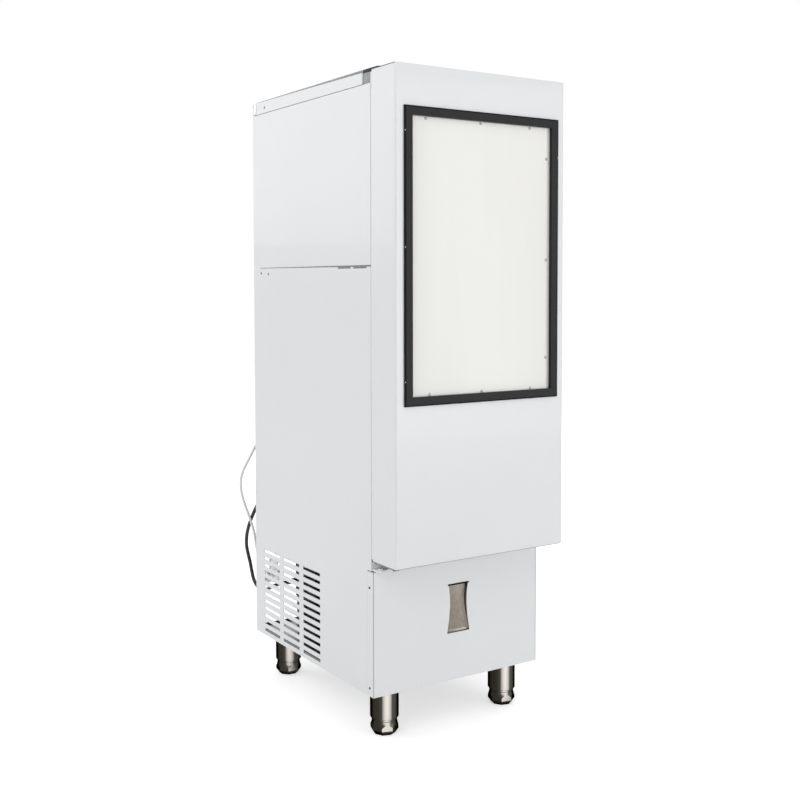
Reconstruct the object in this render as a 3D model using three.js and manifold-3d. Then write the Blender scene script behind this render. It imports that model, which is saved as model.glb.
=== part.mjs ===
// Cabinet water dispenser with an ice maker: a tall sheet-metal cabinet on four adjustable legs.
// Millimetres, +Z up, front towards -Y. The origin is on the floor under the middle of the cabinet.
import * as THREE from "three";
import { mergeVertices } from "three/addons/utils/BufferGeometryUtils.js";
import Module from "manifold-3d";

const wasm = await Module();
wasm.setup();

// Driving dimensions of the whole cabinet
const CABINET_WIDTH = 400;
const CABINET_HEIGHT = 1194;
const LEG_HEIGHT = 92;
const BODY_DEPTH = 503;
const DOOR_DEPTH = 82;
const DOOR_GAP = 5.5;
const WINDOW_PROUD = 4.5;
const SHEET = 1.2;
const PLATE = 2.5;
const FIT = 0.3;
const OVERRUN = 5;
const GRAIN = 0.001;

// Heights above the bottom edge of the side panels
const DRAWER_HEIGHT = 242;
const DOOR_SILL = 265;
const SEAM_HEIGHT = 827;
const LID_HEIGHT = 27;
const DOOR_TOP_GAP = 3;
const SEAM_GAP_REAR = 1;
const SEAM_GAP_FRONT = 3.4;

const RIGHT = CABINET_WIDTH / 2;
const LEFT = -RIGHT;
const REAR = (WINDOW_PROUD + DOOR_DEPTH + DOOR_GAP + BODY_DEPTH) / 2;
const BODY_FRONT = REAR - BODY_DEPTH;
const DOOR_BACK = BODY_FRONT - DOOR_GAP;
const DOOR_FRONT = DOOR_BACK - DOOR_DEPTH;
const BODY_BOTTOM = LEG_HEIGHT;
const TOP = LEG_HEIGHT + CABINET_HEIGHT;
const DRAWER_TOP = BODY_BOTTOM + DRAWER_HEIGHT;
const DOOR_BOTTOM = BODY_BOTTOM + DOOR_SILL;
const DOOR_TOP = TOP - DOOR_TOP_GAP;
const SEAM = BODY_BOTTOM + SEAM_HEIGHT;
const LID_BOTTOM = TOP - LID_HEIGHT;
const WALL_INSIDE = RIGHT - SHEET;

const PANEL = { rearReturn: 12, notchDepth: 3, notchLength: 49, notchGap: 10, notchStart: 14.5 };
const LOUVRE = {
  columns: 3, rows: 12, length: 74, height: 7.4, pitchAlong: 91.5, pitchUp: 16.3,
  fromRear: 43.5, fromBottom: 9.6, bladeDepth: 4, bladeSheet: 0.8,
};

const PAN = { rise: 6, sheet: 1.5, flange: 7, lip: 4.5, overhang: 9 };
const LEG = {
  inset: 54, front: 47, rear: 52.5, radius: 28.5, wall: 2, length: 58.5, flange: 60, flangeSheet: 2.5,
};
const FOOT = {
  collarRadius: 25.7, collarLength: 5, grooveRadius: 24.9, grooveLength: 0.9, neckRadius: 25.2,
  neckLow: 26, flareLow: 14.5, flatRadius: 28.3, baseRadius: 21.5, chamfer: 9.5,
  stem: 34, sides: 8, turns: [3.3, 9.5, 17.8, 31],
};

const FRAME = { returnDepth: 28, foot: 2, railLow: 960, railHigh: 865, binMouth: 625, topLedge: 7 };
const REAR_WALL = { recess: 16, hem: 12, duct: 18, foam: 32.3 };
const REAR_PLATE = REAR - REAR_WALL.recess;
const FOAM_REAR = REAR_PLATE - SHEET - REAR_WALL.duct;
const BAY = { height: 250 };
const HOOK = { x: -152, height: 417.5, width: 12, thick: 2.5, depth: 14, tip: 3 };
const COLLAR = { x: -176, z: 528, radius: 7, depth: 12 };

// Stores: the ice bin below the seam and the ice-making chamber above it
const LINER = 2;
const FOAM_SIDE = 3;
const STORE_GAP = 1.5;
const FRONT_WALL = 39.5;
const STORE_Y = [BODY_FRONT + FRONT_WALL, FOAM_REAR - REAR_WALL.foam];
const STORE_WALL = 35;
const BIN = { floor: 386 };
BIN.open = "top";
BIN.innerHalf = RIGHT - STORE_WALL;
BIN.mouthHalf = BIN.innerHalf;
BIN.low = BIN.floor;
BIN.high = SEAM - STORE_GAP;
BIN.mouth = [FRAME.binMouth, FRAME.railHigh];
const CHAMBER = { ceiling: 1180, hatchTop: 1256 };
CHAMBER.open = "bottom";
CHAMBER.innerHalf = RIGHT - STORE_WALL;
CHAMBER.mouthHalf = CHAMBER.innerHalf;
CHAMBER.low = SEAM + STORE_GAP;
CHAMBER.high = CHAMBER.ceiling;
CHAMBER.mouth = [FRAME.railLow, CHAMBER.ceiling];

// Lid, with the two drooping side rails
const LID = { railRear: 17.5, railStart: 29.5, railRise: 26, railDroop: 4.5, corner: 80 };

// Ice maker
const GRID = {
  columns: 8, rows: 6, pitch: 30, wall: 1.2, draft: 1.6, depth: 26, back: 2,
  left: -140, top: 1160, front: -36,
};
const COIL = { radius: 4, pitch: 25, passes: 7, reach: 12, sink: 1.2 };
const HANGER = { width: 16, sheet: 2, inset: 40 };
const SPRAY = { radius: 5, y: -24, z: 1170, start: -146, riser: 156 };
const TROUGH = { front: -66, rear: 26, floor: 935, wall: 2, height: 38 };
const PUMP = { x: 132, radius: 17, height: 60, foot: 12, footRadius: 20, outlet: 12 };
const CURTAIN = { y: -62, z: 1170, left: -150, right: 112, length: 185, sheet: 2, pin: 2, ear: 3, lift: 6 };

// Controls, tap and drip tray on the front
const FASCIA = { sheet: 2, depth: 14, pocket: 46 };
const ROCKER = {
  x: 110, z: 1220, half: 10, rise: 13, nose: 5, waist: 3.4, back: 4, tilt: 7, pin: 1.5, ear: 2.5, depth: 4,
};
const TAP = { z: 575, half: 17, reach: 48, rise: 26, flange: 4, flangeHalf: 24, nozzle: 8, drop: 24 };
const PADDLE = { pivotOut: 33, half: 13, length: 58, sheet: 3, pin: 2.5, ear: 3, lug: 6 };
const TRAY = { half: 60, z: 385, height: 15, depth: 42, wall: 2, bars: 6 };

// Machine bay
const CONDENSER = {
  left: -162, width: 200, front: 87, depth: 50, height: 212, fins: 26, finShare: 0.5, endPlate: 2,
  tubes: 6, tube: 4, finEdge: 5, bendReach: 12,
};
const COMPRESSOR = {
  apart: 14, y: 187, radius: 62, skirt: 14, height: 150, foot: 18, footHalf: 66, plate: 3, grommet: 9,
};
COMPRESSOR.x = CONDENSER.left + CONDENSER.width + COMPRESSOR.apart + COMPRESSOR.footHalf;
const SHROUD = { sheet: 2, depth: 30, clearance: 3, ring: 1 };
const FAN = {
  blades: 5, hub: 20, hubDepth: 24, chord: 62, sheet: 2, rootTwist: 42, tipTwist: 22, slices: 5,
};
FAN.radius = Math.min(CONDENSER.width, CONDENSER.height) / 2 - SHROUD.clearance - SHROUD.ring;
const MOTOR = { radius: 32, depth: 40, arm: 12, armSheet: 3, shaft: 3 };
const BOX = { left: -104, width: 54, front: 227, depth: 55, low: 162, height: 78, sheet: 2 };
const GLAND = { y: 252, z: 205, radius: 8, length: 12, nut: 11 };
const VALVE = {
  x: -172, z: 222, rear: 284, half: 11, depth: 30, port: 5, portLength: 8, solenoid: 10, solenoidRise: 26,
};
const DRIER = { x: 20, y: 226, low: 122, length: 84, radius: 9, neck: 5 };
const LINES = { suction: 4, capillary: 1.5, bend: 14, chamberX: 60, clear: 10 };
const DISCHARGE = { radius: 3, bend: 10 };

// Drawer under the door
const DRAWER = {
  proud: 6.5, flange: 21, foot: 14, sideRoom: 24, boxLow: 103, boxTop: 260, boxDepth: 175.7,
  sheet: 1.5, innerLow: 101, innerTop: 330,
};
DRAWER.front = BODY_FRONT - DRAWER.proud;
DRAWER.flangeBack = DRAWER.front + DRAWER.flange;
DRAWER.boxFront = DRAWER.flangeBack + FIT;
DRAWER.boxRear = DRAWER.boxFront + DRAWER.boxDepth;
DRAWER.boxHalf = RIGHT - DRAWER.sideRoom;
const RUNNER = { width: 14, low: 192, height: 20, sheet: 1.5, setBack: 2.7, length: 180 };
const TUB = { sideGap: 14, endGap: 10, height: 145, wall: 2.5, draft: 8, rim: 6 };
const PULL = {
  topHalf: 24, waistHalf: 19, bottomHalf: 27.6, top: 285, waist: 247.6, bottom: 187,
  deep: 15, shallow: 2.4, hook: 8, sheet: 1.2, soft: 4,
};

// Door: folded shell, foam core, liner with the tap's pocket, and the window's light box
const DOOR = { corner: 4, backReturn: 14, linerSheet: 2, boreClear: 0.8 };
const POCKET = { half: 110, low: 385, high: 615, depth: 49 };
const WINDOW = {
  side: 17.5, low: 657, high: 1207.5, face: 17, lip: 5, seat: 8, behind: 3, panel: 4,
  legSheet: 2.5, ledge: 6, boxDepth: 43,
};
WINDOW.half = RIGHT - WINDOW.side;
const LIGHTS = { sheet: 1.6, strips: 4, stripWidth: 10, stripSheet: 1.4, margin: 30 };
const GASKET = { inset: 9.5, width: 8, fin: 7.5, finSheet: 3.4, sillGap: 4 };
const HINGE = {
  x: 9, back: 13, pin: 2.5, plate: 4, gap: 3, insert: 18, boss: 4.5, bossHeight: 3.5, inboard: 60, nose: 7,
};

// Radiused corners and round sections
const CURVE_STEPS = 4;
const ROUND_SIDES = 16;
const PIPE_SIDES = 8;
const HEX_SIDES = 6;

// Solids: corners snap to a fine grain, so that faces meant to lie in one plane do, and merge
function solid(geometry) {
  const bare = geometry.clone();
  bare.deleteAttribute("normal");
  bare.deleteAttribute("uv");
  const places = bare.attributes.position.array;
  places.forEach((value, i) => {
    places[i] = Math.round(value / GRAIN) * GRAIN;
  });
  const merged = mergeVertices(bare, GRAIN / 2);
  const vertProperties = merged.attributes.position.array;
  const triVerts = new Uint32Array(merged.index.array);
  return new wasm.Manifold(new wasm.Mesh({ numProp: 3, vertProperties, triVerts }));
}

function geometryOf(body) {
  const mesh = body.getMesh();
  const geometry = new THREE.BufferGeometry();
  const places = new Float32Array(mesh.numVert * 3);
  for (let i = 0; i < mesh.numVert; i++) {
    const at = i * mesh.numProp;
    places.set(mesh.vertProperties.subarray(at, at + 3), i * 3);
  }
  geometry.setAttribute("position", new THREE.BufferAttribute(places, 3));
  geometry.setIndex(new THREE.BufferAttribute(mesh.triVerts, 1));
  return geometry;
}

function joined(bodies) {
  return bodies.reduce((whole, body) => whole.add(body));
}

function cut(body, tools) {
  return tools.reduce((left, tool) => left.subtract(tool), body);
}

// A box between two values on each axis
function block([x0, x1], [y0, y1], [z0, z1]) {
  const geometry = new THREE.BoxGeometry(x1 - x0, y1 - y0, z1 - z0);
  geometry.translate((x0 + x1) / 2, (y0 + y1) / 2, (z0 + z1) / 2);
  return solid(geometry);
}

function extruded(shape, depth) {
  const options = { depth, bevelEnabled: false, curveSegments: CURVE_STEPS };
  return new THREE.ExtrudeGeometry(shape, options);
}

// Outlines drawn in plan, seen from the front, or seen from the right side
function planPlate(shape, [z0, z1]) {
  const geometry = extruded(shape, z1 - z0);
  geometry.translate(0, 0, z0);
  return solid(geometry);
}

function frontPlate(shape, [y0, y1]) {
  const geometry = extruded(shape, y1 - y0);
  geometry.rotateX(Math.PI / 2);
  geometry.translate(0, y1, 0);
  return solid(geometry);
}

function sidePlate(shape, [x0, x1]) {
  const geometry = extruded(shape, x1 - x0);
  const upright = new THREE.Matrix4().makeBasis(
    new THREE.Vector3(0, 1, 0),
    new THREE.Vector3(0, 0, 1),
    new THREE.Vector3(1, 0, 0),
  );
  geometry.applyMatrix4(upright);
  geometry.translate(x0, 0, 0);
  return solid(geometry);
}

function outline(points) {
  return new THREE.Shape(points.map(([a, b]) => new THREE.Vector2(a, b)));
}

function rectangle([a0, a1], [b0, b1], radius = 0) {
  if (radius === 0) {
    return outline([[a0, b0], [a1, b0], [a1, b1], [a0, b1]]);
  }
  const shape = new THREE.Shape();
  shape.moveTo(a0 + radius, b0);
  shape.lineTo(a1 - radius, b0);
  shape.absarc(a1 - radius, b0 + radius, radius, -Math.PI / 2, 0);
  shape.lineTo(a1, b1 - radius);
  shape.absarc(a1 - radius, b1 - radius, radius, 0, Math.PI / 2);
  shape.lineTo(a0 + radius, b1);
  shape.absarc(a0 + radius, b1 - radius, radius, Math.PI / 2, Math.PI);
  shape.lineTo(a0, b0 + radius);
  shape.absarc(a0 + radius, b0 + radius, radius, Math.PI, 1.5 * Math.PI);
  return shape;
}

// A round bar between two values along one axis, centred on the other two
function bar(axis, radius, [from, to], [a, b], sides = ROUND_SIDES) {
  const geometry = new THREE.CylinderGeometry(radius, radius, to - from, sides);
  const middle = (from + to) / 2;
  if (axis === "x") {
    geometry.rotateZ(-Math.PI / 2);
    geometry.translate(middle, a, b);
  } else if (axis === "y") {
    geometry.translate(a, middle, b);
  } else {
    geometry.rotateX(Math.PI / 2);
    geometry.translate(a, b, middle);
  }
  return solid(geometry);
}

// A turned solid about Z from [radius, height] points that run from the bottom up
function turned(points, sides = ROUND_SIDES) {
  const profile = points.map(([r, z]) => new THREE.Vector2(r, z));
  const geometry = new THREE.LatheGeometry(profile, sides);
  geometry.rotateX(Math.PI / 2);
  return solid(geometry);
}

// A round rod swept along points
function swept(points, radius, sides, steps, curve = null) {
  const section = new THREE.Shape();
  for (let i = 0; i < sides; i++) {
    const angle = (2 * Math.PI * i) / sides;
    const [x, y] = [radius * Math.cos(angle), radius * Math.sin(angle)];
    if (i === 0) section.moveTo(x, y);
    else section.lineTo(x, y);
  }
  section.closePath();
  const places = points.map((p) => new THREE.Vector3(...p));
  const extrudePath = curve ?? new THREE.CatmullRomCurve3(places, false, "centripetal");
  return solid(new THREE.ExtrudeGeometry(section, { steps, extrudePath, bevelEnabled: false }));
}

// Finishes, read from the photograph
const FINISHES = {
  white_enamel: { color: 0xe6e7e8, roughness: 0.35, metalness: 0.0 },
  galvanised: { color: 0x9ea1a3, roughness: 0.45, metalness: 0.8 },
  stainless: { color: 0xb9bbbd, roughness: 0.3, metalness: 0.9 },
  black_frame: { color: 0x2b2b2c, roughness: 0.5, metalness: 0.0 },
  lit_panel: { color: 0xf6f4f1, roughness: 0.12, metalness: 0.0 },
  liner_plastic: { color: 0xeef0f0, roughness: 0.3, metalness: 0.0 },
  foam: { color: 0xe8dcae, roughness: 0.9, metalness: 0.0 },
  seal_rubber: { color: 0xf2f2f0, roughness: 0.6, metalness: 0.0 },
  black_rubber: { color: 0x17181a, roughness: 0.6, metalness: 0.0 },
  black_plastic: { color: 0x1c1d1f, roughness: 0.5, metalness: 0.0 },
  black_steel: { color: 0x1a1a1c, roughness: 0.55, metalness: 0.4 },
  copper: { color: 0xb8734a, roughness: 0.3, metalness: 0.9 },
  tinned: { color: 0xa9adb0, roughness: 0.35, metalness: 0.85 },
  coil_black: { color: 0x202225, roughness: 0.5, metalness: 0.5 },
  clear_plastic: { color: 0xdfe6e8, roughness: 0.15, metalness: 0.0 },
  hose_white: { color: 0xeef0ee, roughness: 0.4, metalness: 0.0 },
};

// The finished cabinet, and the group of each moving assembly at its own pivot
const cabinet = new THREE.Group();

function group(place) {
  const made = new THREE.Group();
  made.position.set(...place);
  cabinet.add(made);
  return made;
}

// A named mesh whose solid is drawn about its own group's origin
function placedMesh(name, finish, body) {
  const mesh = new THREE.Mesh(geometryOf(body), new THREE.MeshStandardMaterial(FINISHES[finish]));
  mesh.name = name;
  return mesh;
}

// A named mesh; its solid is given in the cabinet's own frame and rides on its group's pivot
function piece(name, finish, body, carrier = cabinet) {
  const mesh = placedMesh(name, finish, body);
  mesh.geometry.translate(-carrier.position.x, -carrier.position.y, -carrier.position.z);
  carrier.add(mesh);
  return mesh;
}

// A range of X measured inward from the outer face of the left (-1) or right (1) wall
function inward(side, from, to) {
  return side < 0 ? [LEFT + from, LEFT + to] : [RIGHT - to, RIGHT - from];
}

const both = (half) => [-half, half];
const grown = ([from, to], by) => [from - by, to + by];

// Side panels: sheet with a rear return, louvres at the lower rear and pressed notches at the seam
function rearReturn(side, z) {
  return block(inward(side, 0, PANEL.rearReturn), [REAR - SHEET, REAR], z);
}

function louvreCentres() {
  const centres = [];
  const half = LOUVRE.length / 2;
  for (let column = 0; column < LOUVRE.columns; column++) {
    const y = REAR - LOUVRE.fromRear - half - column * LOUVRE.pitchAlong;
    for (let row = 0; row < LOUVRE.rows; row++) {
      const z = BODY_BOTTOM + LOUVRE.fromBottom + LOUVRE.height / 2 + row * LOUVRE.pitchUp;
      centres.push([y, z]);
    }
  }
  return centres;
}

function withLouvres(panel, side) {
  const halfLength = LOUVRE.length / 2;
  const halfHeight = LOUVRE.height / 2;
  let body = panel;
  for (const [y, z] of louvreCentres()) {
    const along = [y - halfLength, y + halfLength];
    const slot = block(inward(side, -OVERRUN, SHEET + OVERRUN), along, [z - halfHeight, z + halfHeight]);
    body = body.subtract(slot);
  }
  const reach = (depth) => (side < 0 ? LEFT + depth : RIGHT - depth);
  for (const [y, z] of louvreCentres()) {
    const top = z + halfHeight;
    const blade = outline([
      [reach(0), top],
      [reach(LOUVRE.bladeDepth), z],
      [reach(LOUVRE.bladeDepth), z + LOUVRE.bladeSheet],
      [reach(0), top + LOUVRE.bladeSheet],
    ]);
    body = body.add(frontPlate(blade, [y - halfLength, y + halfLength]));
  }
  return body;
}

function lowerPanel(side) {
  const seamRear = SEAM - SEAM_GAP_REAR;
  const seamFront = SEAM - SEAM_GAP_FRONT;
  const slope = (seamRear - seamFront) / (REAR - BODY_FRONT);
  const seamAt = (y) => seamFront + (y - BODY_FRONT) * slope;
  const first = BODY_FRONT + PANEL.notchStart;
  const second = first + PANEL.notchLength + PANEL.notchGap;
  const notch = (y) => [
    [y + PANEL.notchLength, seamAt(y + PANEL.notchLength)],
    [y + PANEL.notchLength, seamAt(y) - PANEL.notchDepth],
    [y, seamAt(y) - PANEL.notchDepth],
    [y, seamAt(y)],
  ];
  const plate = outline([
    [DRAWER.flangeBack + FIT, BODY_BOTTOM],
    [REAR, BODY_BOTTOM],
    [REAR, seamRear],
    ...notch(second),
    ...notch(first),
    [BODY_FRONT, seamFront],
    [BODY_FRONT, DRAWER_TOP + FRAME.foot],
    [DRAWER.flangeBack + FIT, DRAWER_TOP + FRAME.foot],
  ]);
  const hemFoot = BODY_BOTTOM + PAN.rise + PAN.flange + FRAME.foot;
  const body = sidePlate(plate, inward(side, 0, SHEET)).add(rearReturn(side, [hemFoot, seamRear]));
  return withLouvres(body, side);
}

function upperPanel(side) {
  const z = [SEAM, LID_BOTTOM - SHEET];
  const plate = block(inward(side, 0, SHEET), [BODY_FRONT, REAR], z);
  return plate.add(rearReturn(side, z));
}

// Base pan: a folded tray between the side panels that carries legs, compressor and condenser
const PAN_FLOOR = BODY_BOTTOM + PAN.rise;
const PAN_TOP = PAN_FLOOR + PAN.sheet;
const PAN_SIDE = WALL_INSIDE - FIT;
const PAN_FRONT = BODY_FRONT + PAN.overhang;

function basePan() {
  const rear = REAR - FIT;
  const floor = block(both(PAN_SIDE), [PAN_FRONT, rear], [PAN_FLOOR, PAN_TOP]);
  const upright = [PAN_FLOOR, PAN_FLOOR + PAN.flange];
  const flange = (x) => block(x, [DRAWER.flangeBack + OVERRUN, rear], upright);
  const rearWidth = RIGHT - PANEL.rearReturn - PAN.sheet;
  return joined([
    floor,
    flange([-PAN_SIDE, -PAN_SIDE + PAN.sheet]),
    flange([PAN_SIDE - PAN.sheet, PAN_SIDE]),
    block(both(rearWidth), [rear - PAN.sheet, rear], upright),
    block(both(PAN_SIDE), [PAN_FRONT, PAN_FRONT + PAN.sheet], [PAN_FLOOR - PAN.lip, PAN_FLOOR]),
  ]);
}

// Legs: steel tubes under square flanges, each with a screw foot that slides in its bore
const LEG_SIDES = 24;
const LEG_BOTTOM = BODY_BOTTOM - LEG.length;
const LEG_BORE = LEG.radius - LEG.wall;

function legTube() {
  const flangeTop = PAN_FLOOR - FIT;
  const half = LEG.flange / 2;
  const tube = bar("z", LEG.radius, [LEG_BOTTOM, flangeTop], [0, 0], LEG_SIDES);
  const flange = block(both(half), both(half), [flangeTop - LEG.flangeSheet, flangeTop]);
  const bore = bar("z", LEG_BORE, [LEG_BOTTOM - OVERRUN, flangeTop + OVERRUN], [0, 0], LEG_SIDES);
  return tube.add(flange).subtract(bore);
}

// Foot: a round neck that flares into an eight-sided grip with a bevelled tread
function footBody() {
  const grooveTop = LEG_BOTTOM - FOOT.collarLength;
  const grip = turned([
    [0, 0],
    [FOOT.baseRadius, 0],
    [FOOT.flatRadius, FOOT.chamfer],
    [FOOT.flatRadius, FOOT.neckLow],
    [0, FOOT.neckLow],
  ], FOOT.sides);
  const flare = turned([
    [0, 0],
    [FOOT.flatRadius, 0],
    [FOOT.flatRadius, FOOT.flareLow],
    [FOOT.neckRadius, FOOT.neckLow],
    [0, FOOT.neckLow],
  ], LEG_SIDES);
  const stem = turned([
    [0, FOOT.flareLow],
    [FOOT.neckRadius - FIT, FOOT.flareLow],
    [FOOT.neckRadius, FOOT.neckLow],
    [FOOT.neckRadius, grooveTop - FOOT.grooveLength - FIT],
    [FOOT.grooveRadius, grooveTop - FOOT.grooveLength],
    [FOOT.grooveRadius, grooveTop],
    [FOOT.collarRadius, grooveTop + FIT],
    [FOOT.collarRadius, LEG_BOTTOM],
    [LEG_BORE - FIT, LEG_BOTTOM + SHEET],
    [LEG_BORE - FIT, LEG_BOTTOM + FOOT.stem],
    [0, LEG_BOTTOM + FOOT.stem],
  ], LEG_SIDES);
  return grip.intersect(flare).add(stem);
}

function legPlaces() {
  const x = RIGHT - LEG.inset;
  const front = DRAWER.front + LEG.front;
  const rear = REAR - LEG.rear;
  return [
    ["front_left", -x, front],
    ["front_right", x, front],
    ["rear_left", -x, rear],
    ["rear_right", x, rear],
  ];
}

// Front frame: galvanised sheet round the bin mouth and the ice chamber, with turned-back edges
function frontFrame() {
  const z = [DRAWER_TOP + FRAME.foot, TOP - FRAME.topLedge];
  const plate = rectangle(both(PAN_SIDE), z);
  plate.holes.push(rectangle(both(BIN.mouthHalf), [FRAME.binMouth, FRAME.railHigh]));
  plate.holes.push(rectangle(both(CHAMBER.innerHalf), [FRAME.railLow, CHAMBER.hatchTop]));
  const face = frontPlate(plate, [BODY_FRONT, BODY_FRONT + SHEET]);
  const deep = [BODY_FRONT, BODY_FRONT + FRAME.returnDepth];
  return joined([
    face,
    block([-PAN_SIDE, -PAN_SIDE + SHEET], deep, z),
    block([PAN_SIDE - SHEET, PAN_SIDE], deep, z),
    block(both(PAN_SIDE), deep, [z[1] - SHEET, z[1]]),
    block(both(PAN_SIDE), [BODY_FRONT, BODY_FRONT + PANEL.notchStart], [z[0], z[0] + SHEET]),
  ]);
}

// Rear panels: pans set inside the side panels' returns, with turned-out hems
function rearPanel(z) {
  const plate = block(both(PAN_SIDE), [REAR_PLATE - SHEET, REAR_PLATE], z);
  const hem = [REAR_PLATE - SHEET, REAR_PLATE + REAR_WALL.hem];
  const left = block([-PAN_SIDE, -PAN_SIDE + SHEET], hem, z);
  const right = block([PAN_SIDE - SHEET, PAN_SIDE], hem, z);
  return joined([plate, left, right]);
}

// The lower rear panel carries the cord hook and the water line's collar
function lowerRearPanel() {
  const panel = rearPanel([BODY_BOTTOM + BAY.height, SEAM - SHEET]);
  const ledgeTop = HOOK.height;
  const out = [REAR_PLATE - SHEET / 2, REAR_PLATE + HOOK.depth];
  const ledge = block([HOOK.x, HOOK.x + HOOK.width], out, [ledgeTop - HOOK.thick, ledgeTop]);
  const tipDepth = [out[1] - HOOK.thick, out[1]];
  const tip = block([HOOK.x, HOOK.x + HOOK.width], tipDepth, [ledgeTop - HOOK.thick, ledgeTop + HOOK.tip]);
  const collarOut = [REAR_PLATE - SHEET / 2, REAR_PLATE + COLLAR.depth];
  const collar = bar("y", COLLAR.radius, collarOut, [COLLAR.x, COLLAR.z]);
  return joined([panel, ledge, tip, collar]);
}

// Insulation and liners: an inner box with a throat through the front wall, set in foam
const FOAM_FRONT = BODY_FRONT + SHEET + FIT;
const FOAM_HALF = RIGHT - FOAM_SIDE;

function storeSolid(store, by, run) {
  const upright = [store.low - by, store.high + run];
  const hanging = [store.low - run, store.high + by];
  const z = store.open === "top" ? upright : hanging;
  const body = block(both(store.innerHalf + by), grown(STORE_Y, by), z);
  const throatY = [FOAM_FRONT - run, STORE_Y[0]];
  const throat = block(both(store.mouthHalf + by), throatY, grown(store.mouth, by));
  return body.add(throat);
}

function liner(store) {
  return storeSolid(store, LINER, 0).subtract(storeSolid(store, 0, OVERRUN));
}

function insulation(store, z) {
  const foam = block(both(FOAM_HALF), [FOAM_FRONT, FOAM_REAR], z);
  return foam.subtract(storeSolid(store, LINER + FIT, OVERRUN));
}

function binInsulation() {
  return insulation(BIN, [DRAWER_TOP + FRAME.foot + SHEET + FIT, SEAM - STORE_GAP]);
}

function chamberInsulation() {
  const foam = insulation(CHAMBER, [SEAM + STORE_GAP, LID_BOTTOM - SHEET]);
  const pocketY = [FOAM_FRONT - OVERRUN, FOAM_FRONT + FASCIA.pocket];
  const pocketZ = [CHAMBER.ceiling, CHAMBER.hatchTop];
  return cut(foam, [block(both(CHAMBER.innerHalf), pocketY, pocketZ), lineBore(LINES.clear)]);
}

// The chamber liner carries the curtain's two pivot ears and lets the refrigerant lines in
function chamberLiner() {
  const ear = (x) => {
    const y = grown([CURTAIN.y, CURTAIN.y], CURTAIN.lift);
    const plate = block([x, x + CURTAIN.ear], y, [CURTAIN.z - CURTAIN.lift, CHAMBER.ceiling + LINER / 2]);
    const through = [x - OVERRUN, x + OVERRUN + CURTAIN.ear];
    return plate.subtract(bar("x", CURTAIN.pin + FIT, through, [CURTAIN.y, CURTAIN.z]));
  };
  const left = ear(CURTAIN.left - FIT - CURTAIN.ear);
  const right = ear(CURTAIN.right + FIT);
  return joined([liner(CHAMBER), left, right]).subtract(lineBore(LINES.clear));
}

function lineBore(radius) {
  const y = [STORE_Y[1] - OVERRUN, FOAM_REAR + OVERRUN];
  return bar("y", radius, y, [LINES.chamberX, LINE_TOP]);
}

// Lid: a folded cover with a notch for the hinge, and a white rail along each side
function topCover() {
  const half = PAN_SIDE;
  const notchX = LEFT + LID.corner;
  const notchY = BODY_FRONT + FRAME.returnDepth + FIT;
  const plan = outline([
    [notchX, BODY_FRONT],
    [half, BODY_FRONT],
    [half, REAR],
    [-half, REAR],
    [-half, notchY],
    [notchX, notchY],
  ]);
  const railFront = BODY_FRONT + LID.railStart;
  const railRear = REAR - LID.railRear;
  const droop = outline([
    [railFront, LID_BOTTOM],
    [railRear, LID_BOTTOM],
    [railRear, LID_BOTTOM + LID.railRise],
    [railFront, LID_BOTTOM + LID.railRise - LID.railDroop],
  ]);
  const hemFoot = LID_BOTTOM + FIT;
  const hollowY = [BODY_FRONT + SHEET, REAR - SHEET];
  const hollow = block(grown(both(half), -SHEET), hollowY, [hemFoot - OVERRUN, TOP - SHEET]);
  const openY = [BODY_FRONT - OVERRUN, railFront - SHEET];
  const open = block([LEFT, RIGHT], openY, [hemFoot - OVERRUN, TOP - FRAME.topLedge + FIT]);
  const capZ = [LID_BOTTOM + FIT + SHEET, LID_BOTTOM + LID.railRise - SHEET];
  const cap = (x) => block(x, [railRear - SHEET, REAR - FIT], capZ);
  return joined([
    cut(planPlate(plan, [hemFoot, TOP]), [hollow, open]),
    sidePlate(droop, [LEFT, -half + SHEET / 2]),
    sidePlate(droop, [half - SHEET / 2, RIGHT]),
    cap([-half - SHEET / 2, -half + SHEET / 3]),
    cap([half - SHEET / 3, half + SHEET / 2]),
  ]);
}

// A route through corners rounded with short arcs; its rings stand square to the route
class Route extends THREE.Curve {
  constructor(points) {
    super();
    this.points = points;
  }
  getUtoTmapping(u) {
    return u;
  }
  getPoint(t, target = new THREE.Vector3()) {
    const last = this.points.length - 1;
    const at = Math.min(Math.max(t, 0), 1) * last;
    const i = Math.min(Math.floor(at), last - 1);
    return target.lerpVectors(this.points[i], this.points[i + 1], at - i);
  }
  getTangent(t, target = new THREE.Vector3()) {
    const last = this.points.length - 1;
    const i = Math.round(Math.min(Math.max(t, 0), 1) * last);
    const before = this.points[Math.max(i - 1, 0)];
    const after = this.points[Math.min(i + 1, last)];
    const here = this.points[i];
    const into = new THREE.Vector3().subVectors(here, before).normalize();
    const out = new THREE.Vector3().subVectors(after, here).normalize();
    return target.addVectors(into, out).normalize();
  }
}

const BEND_STEPS = 4;

function rounded(corners, bend) {
  const points = corners.map((p) => new THREE.Vector3(...p));
  const route = [points[0]];
  for (let i = 1; i < points.length - 1; i++) {
    const back = new THREE.Vector3().subVectors(points[i - 1], points[i]);
    const ahead = new THREE.Vector3().subVectors(points[i + 1], points[i]);
    const from = points[i].clone().addScaledVector(back.clone().normalize(), bend);
    const to = points[i].clone().addScaledVector(ahead.clone().normalize(), bend);
    const arc = new THREE.QuadraticBezierCurve3(from, points[i], to);
    for (const point of arc.getPoints(BEND_STEPS)) {
      if (point.distanceTo(route[route.length - 1]) > FIT) route.push(point);
    }
  }
  route.push(points[points.length - 1]);
  return new Route(route);
}

function pipe(corners, radius, bend, sides = PIPE_SIDES) {
  const route = rounded(corners, bend);
  return swept([], radius, sides, route.points.length - 1, route);
}

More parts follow.
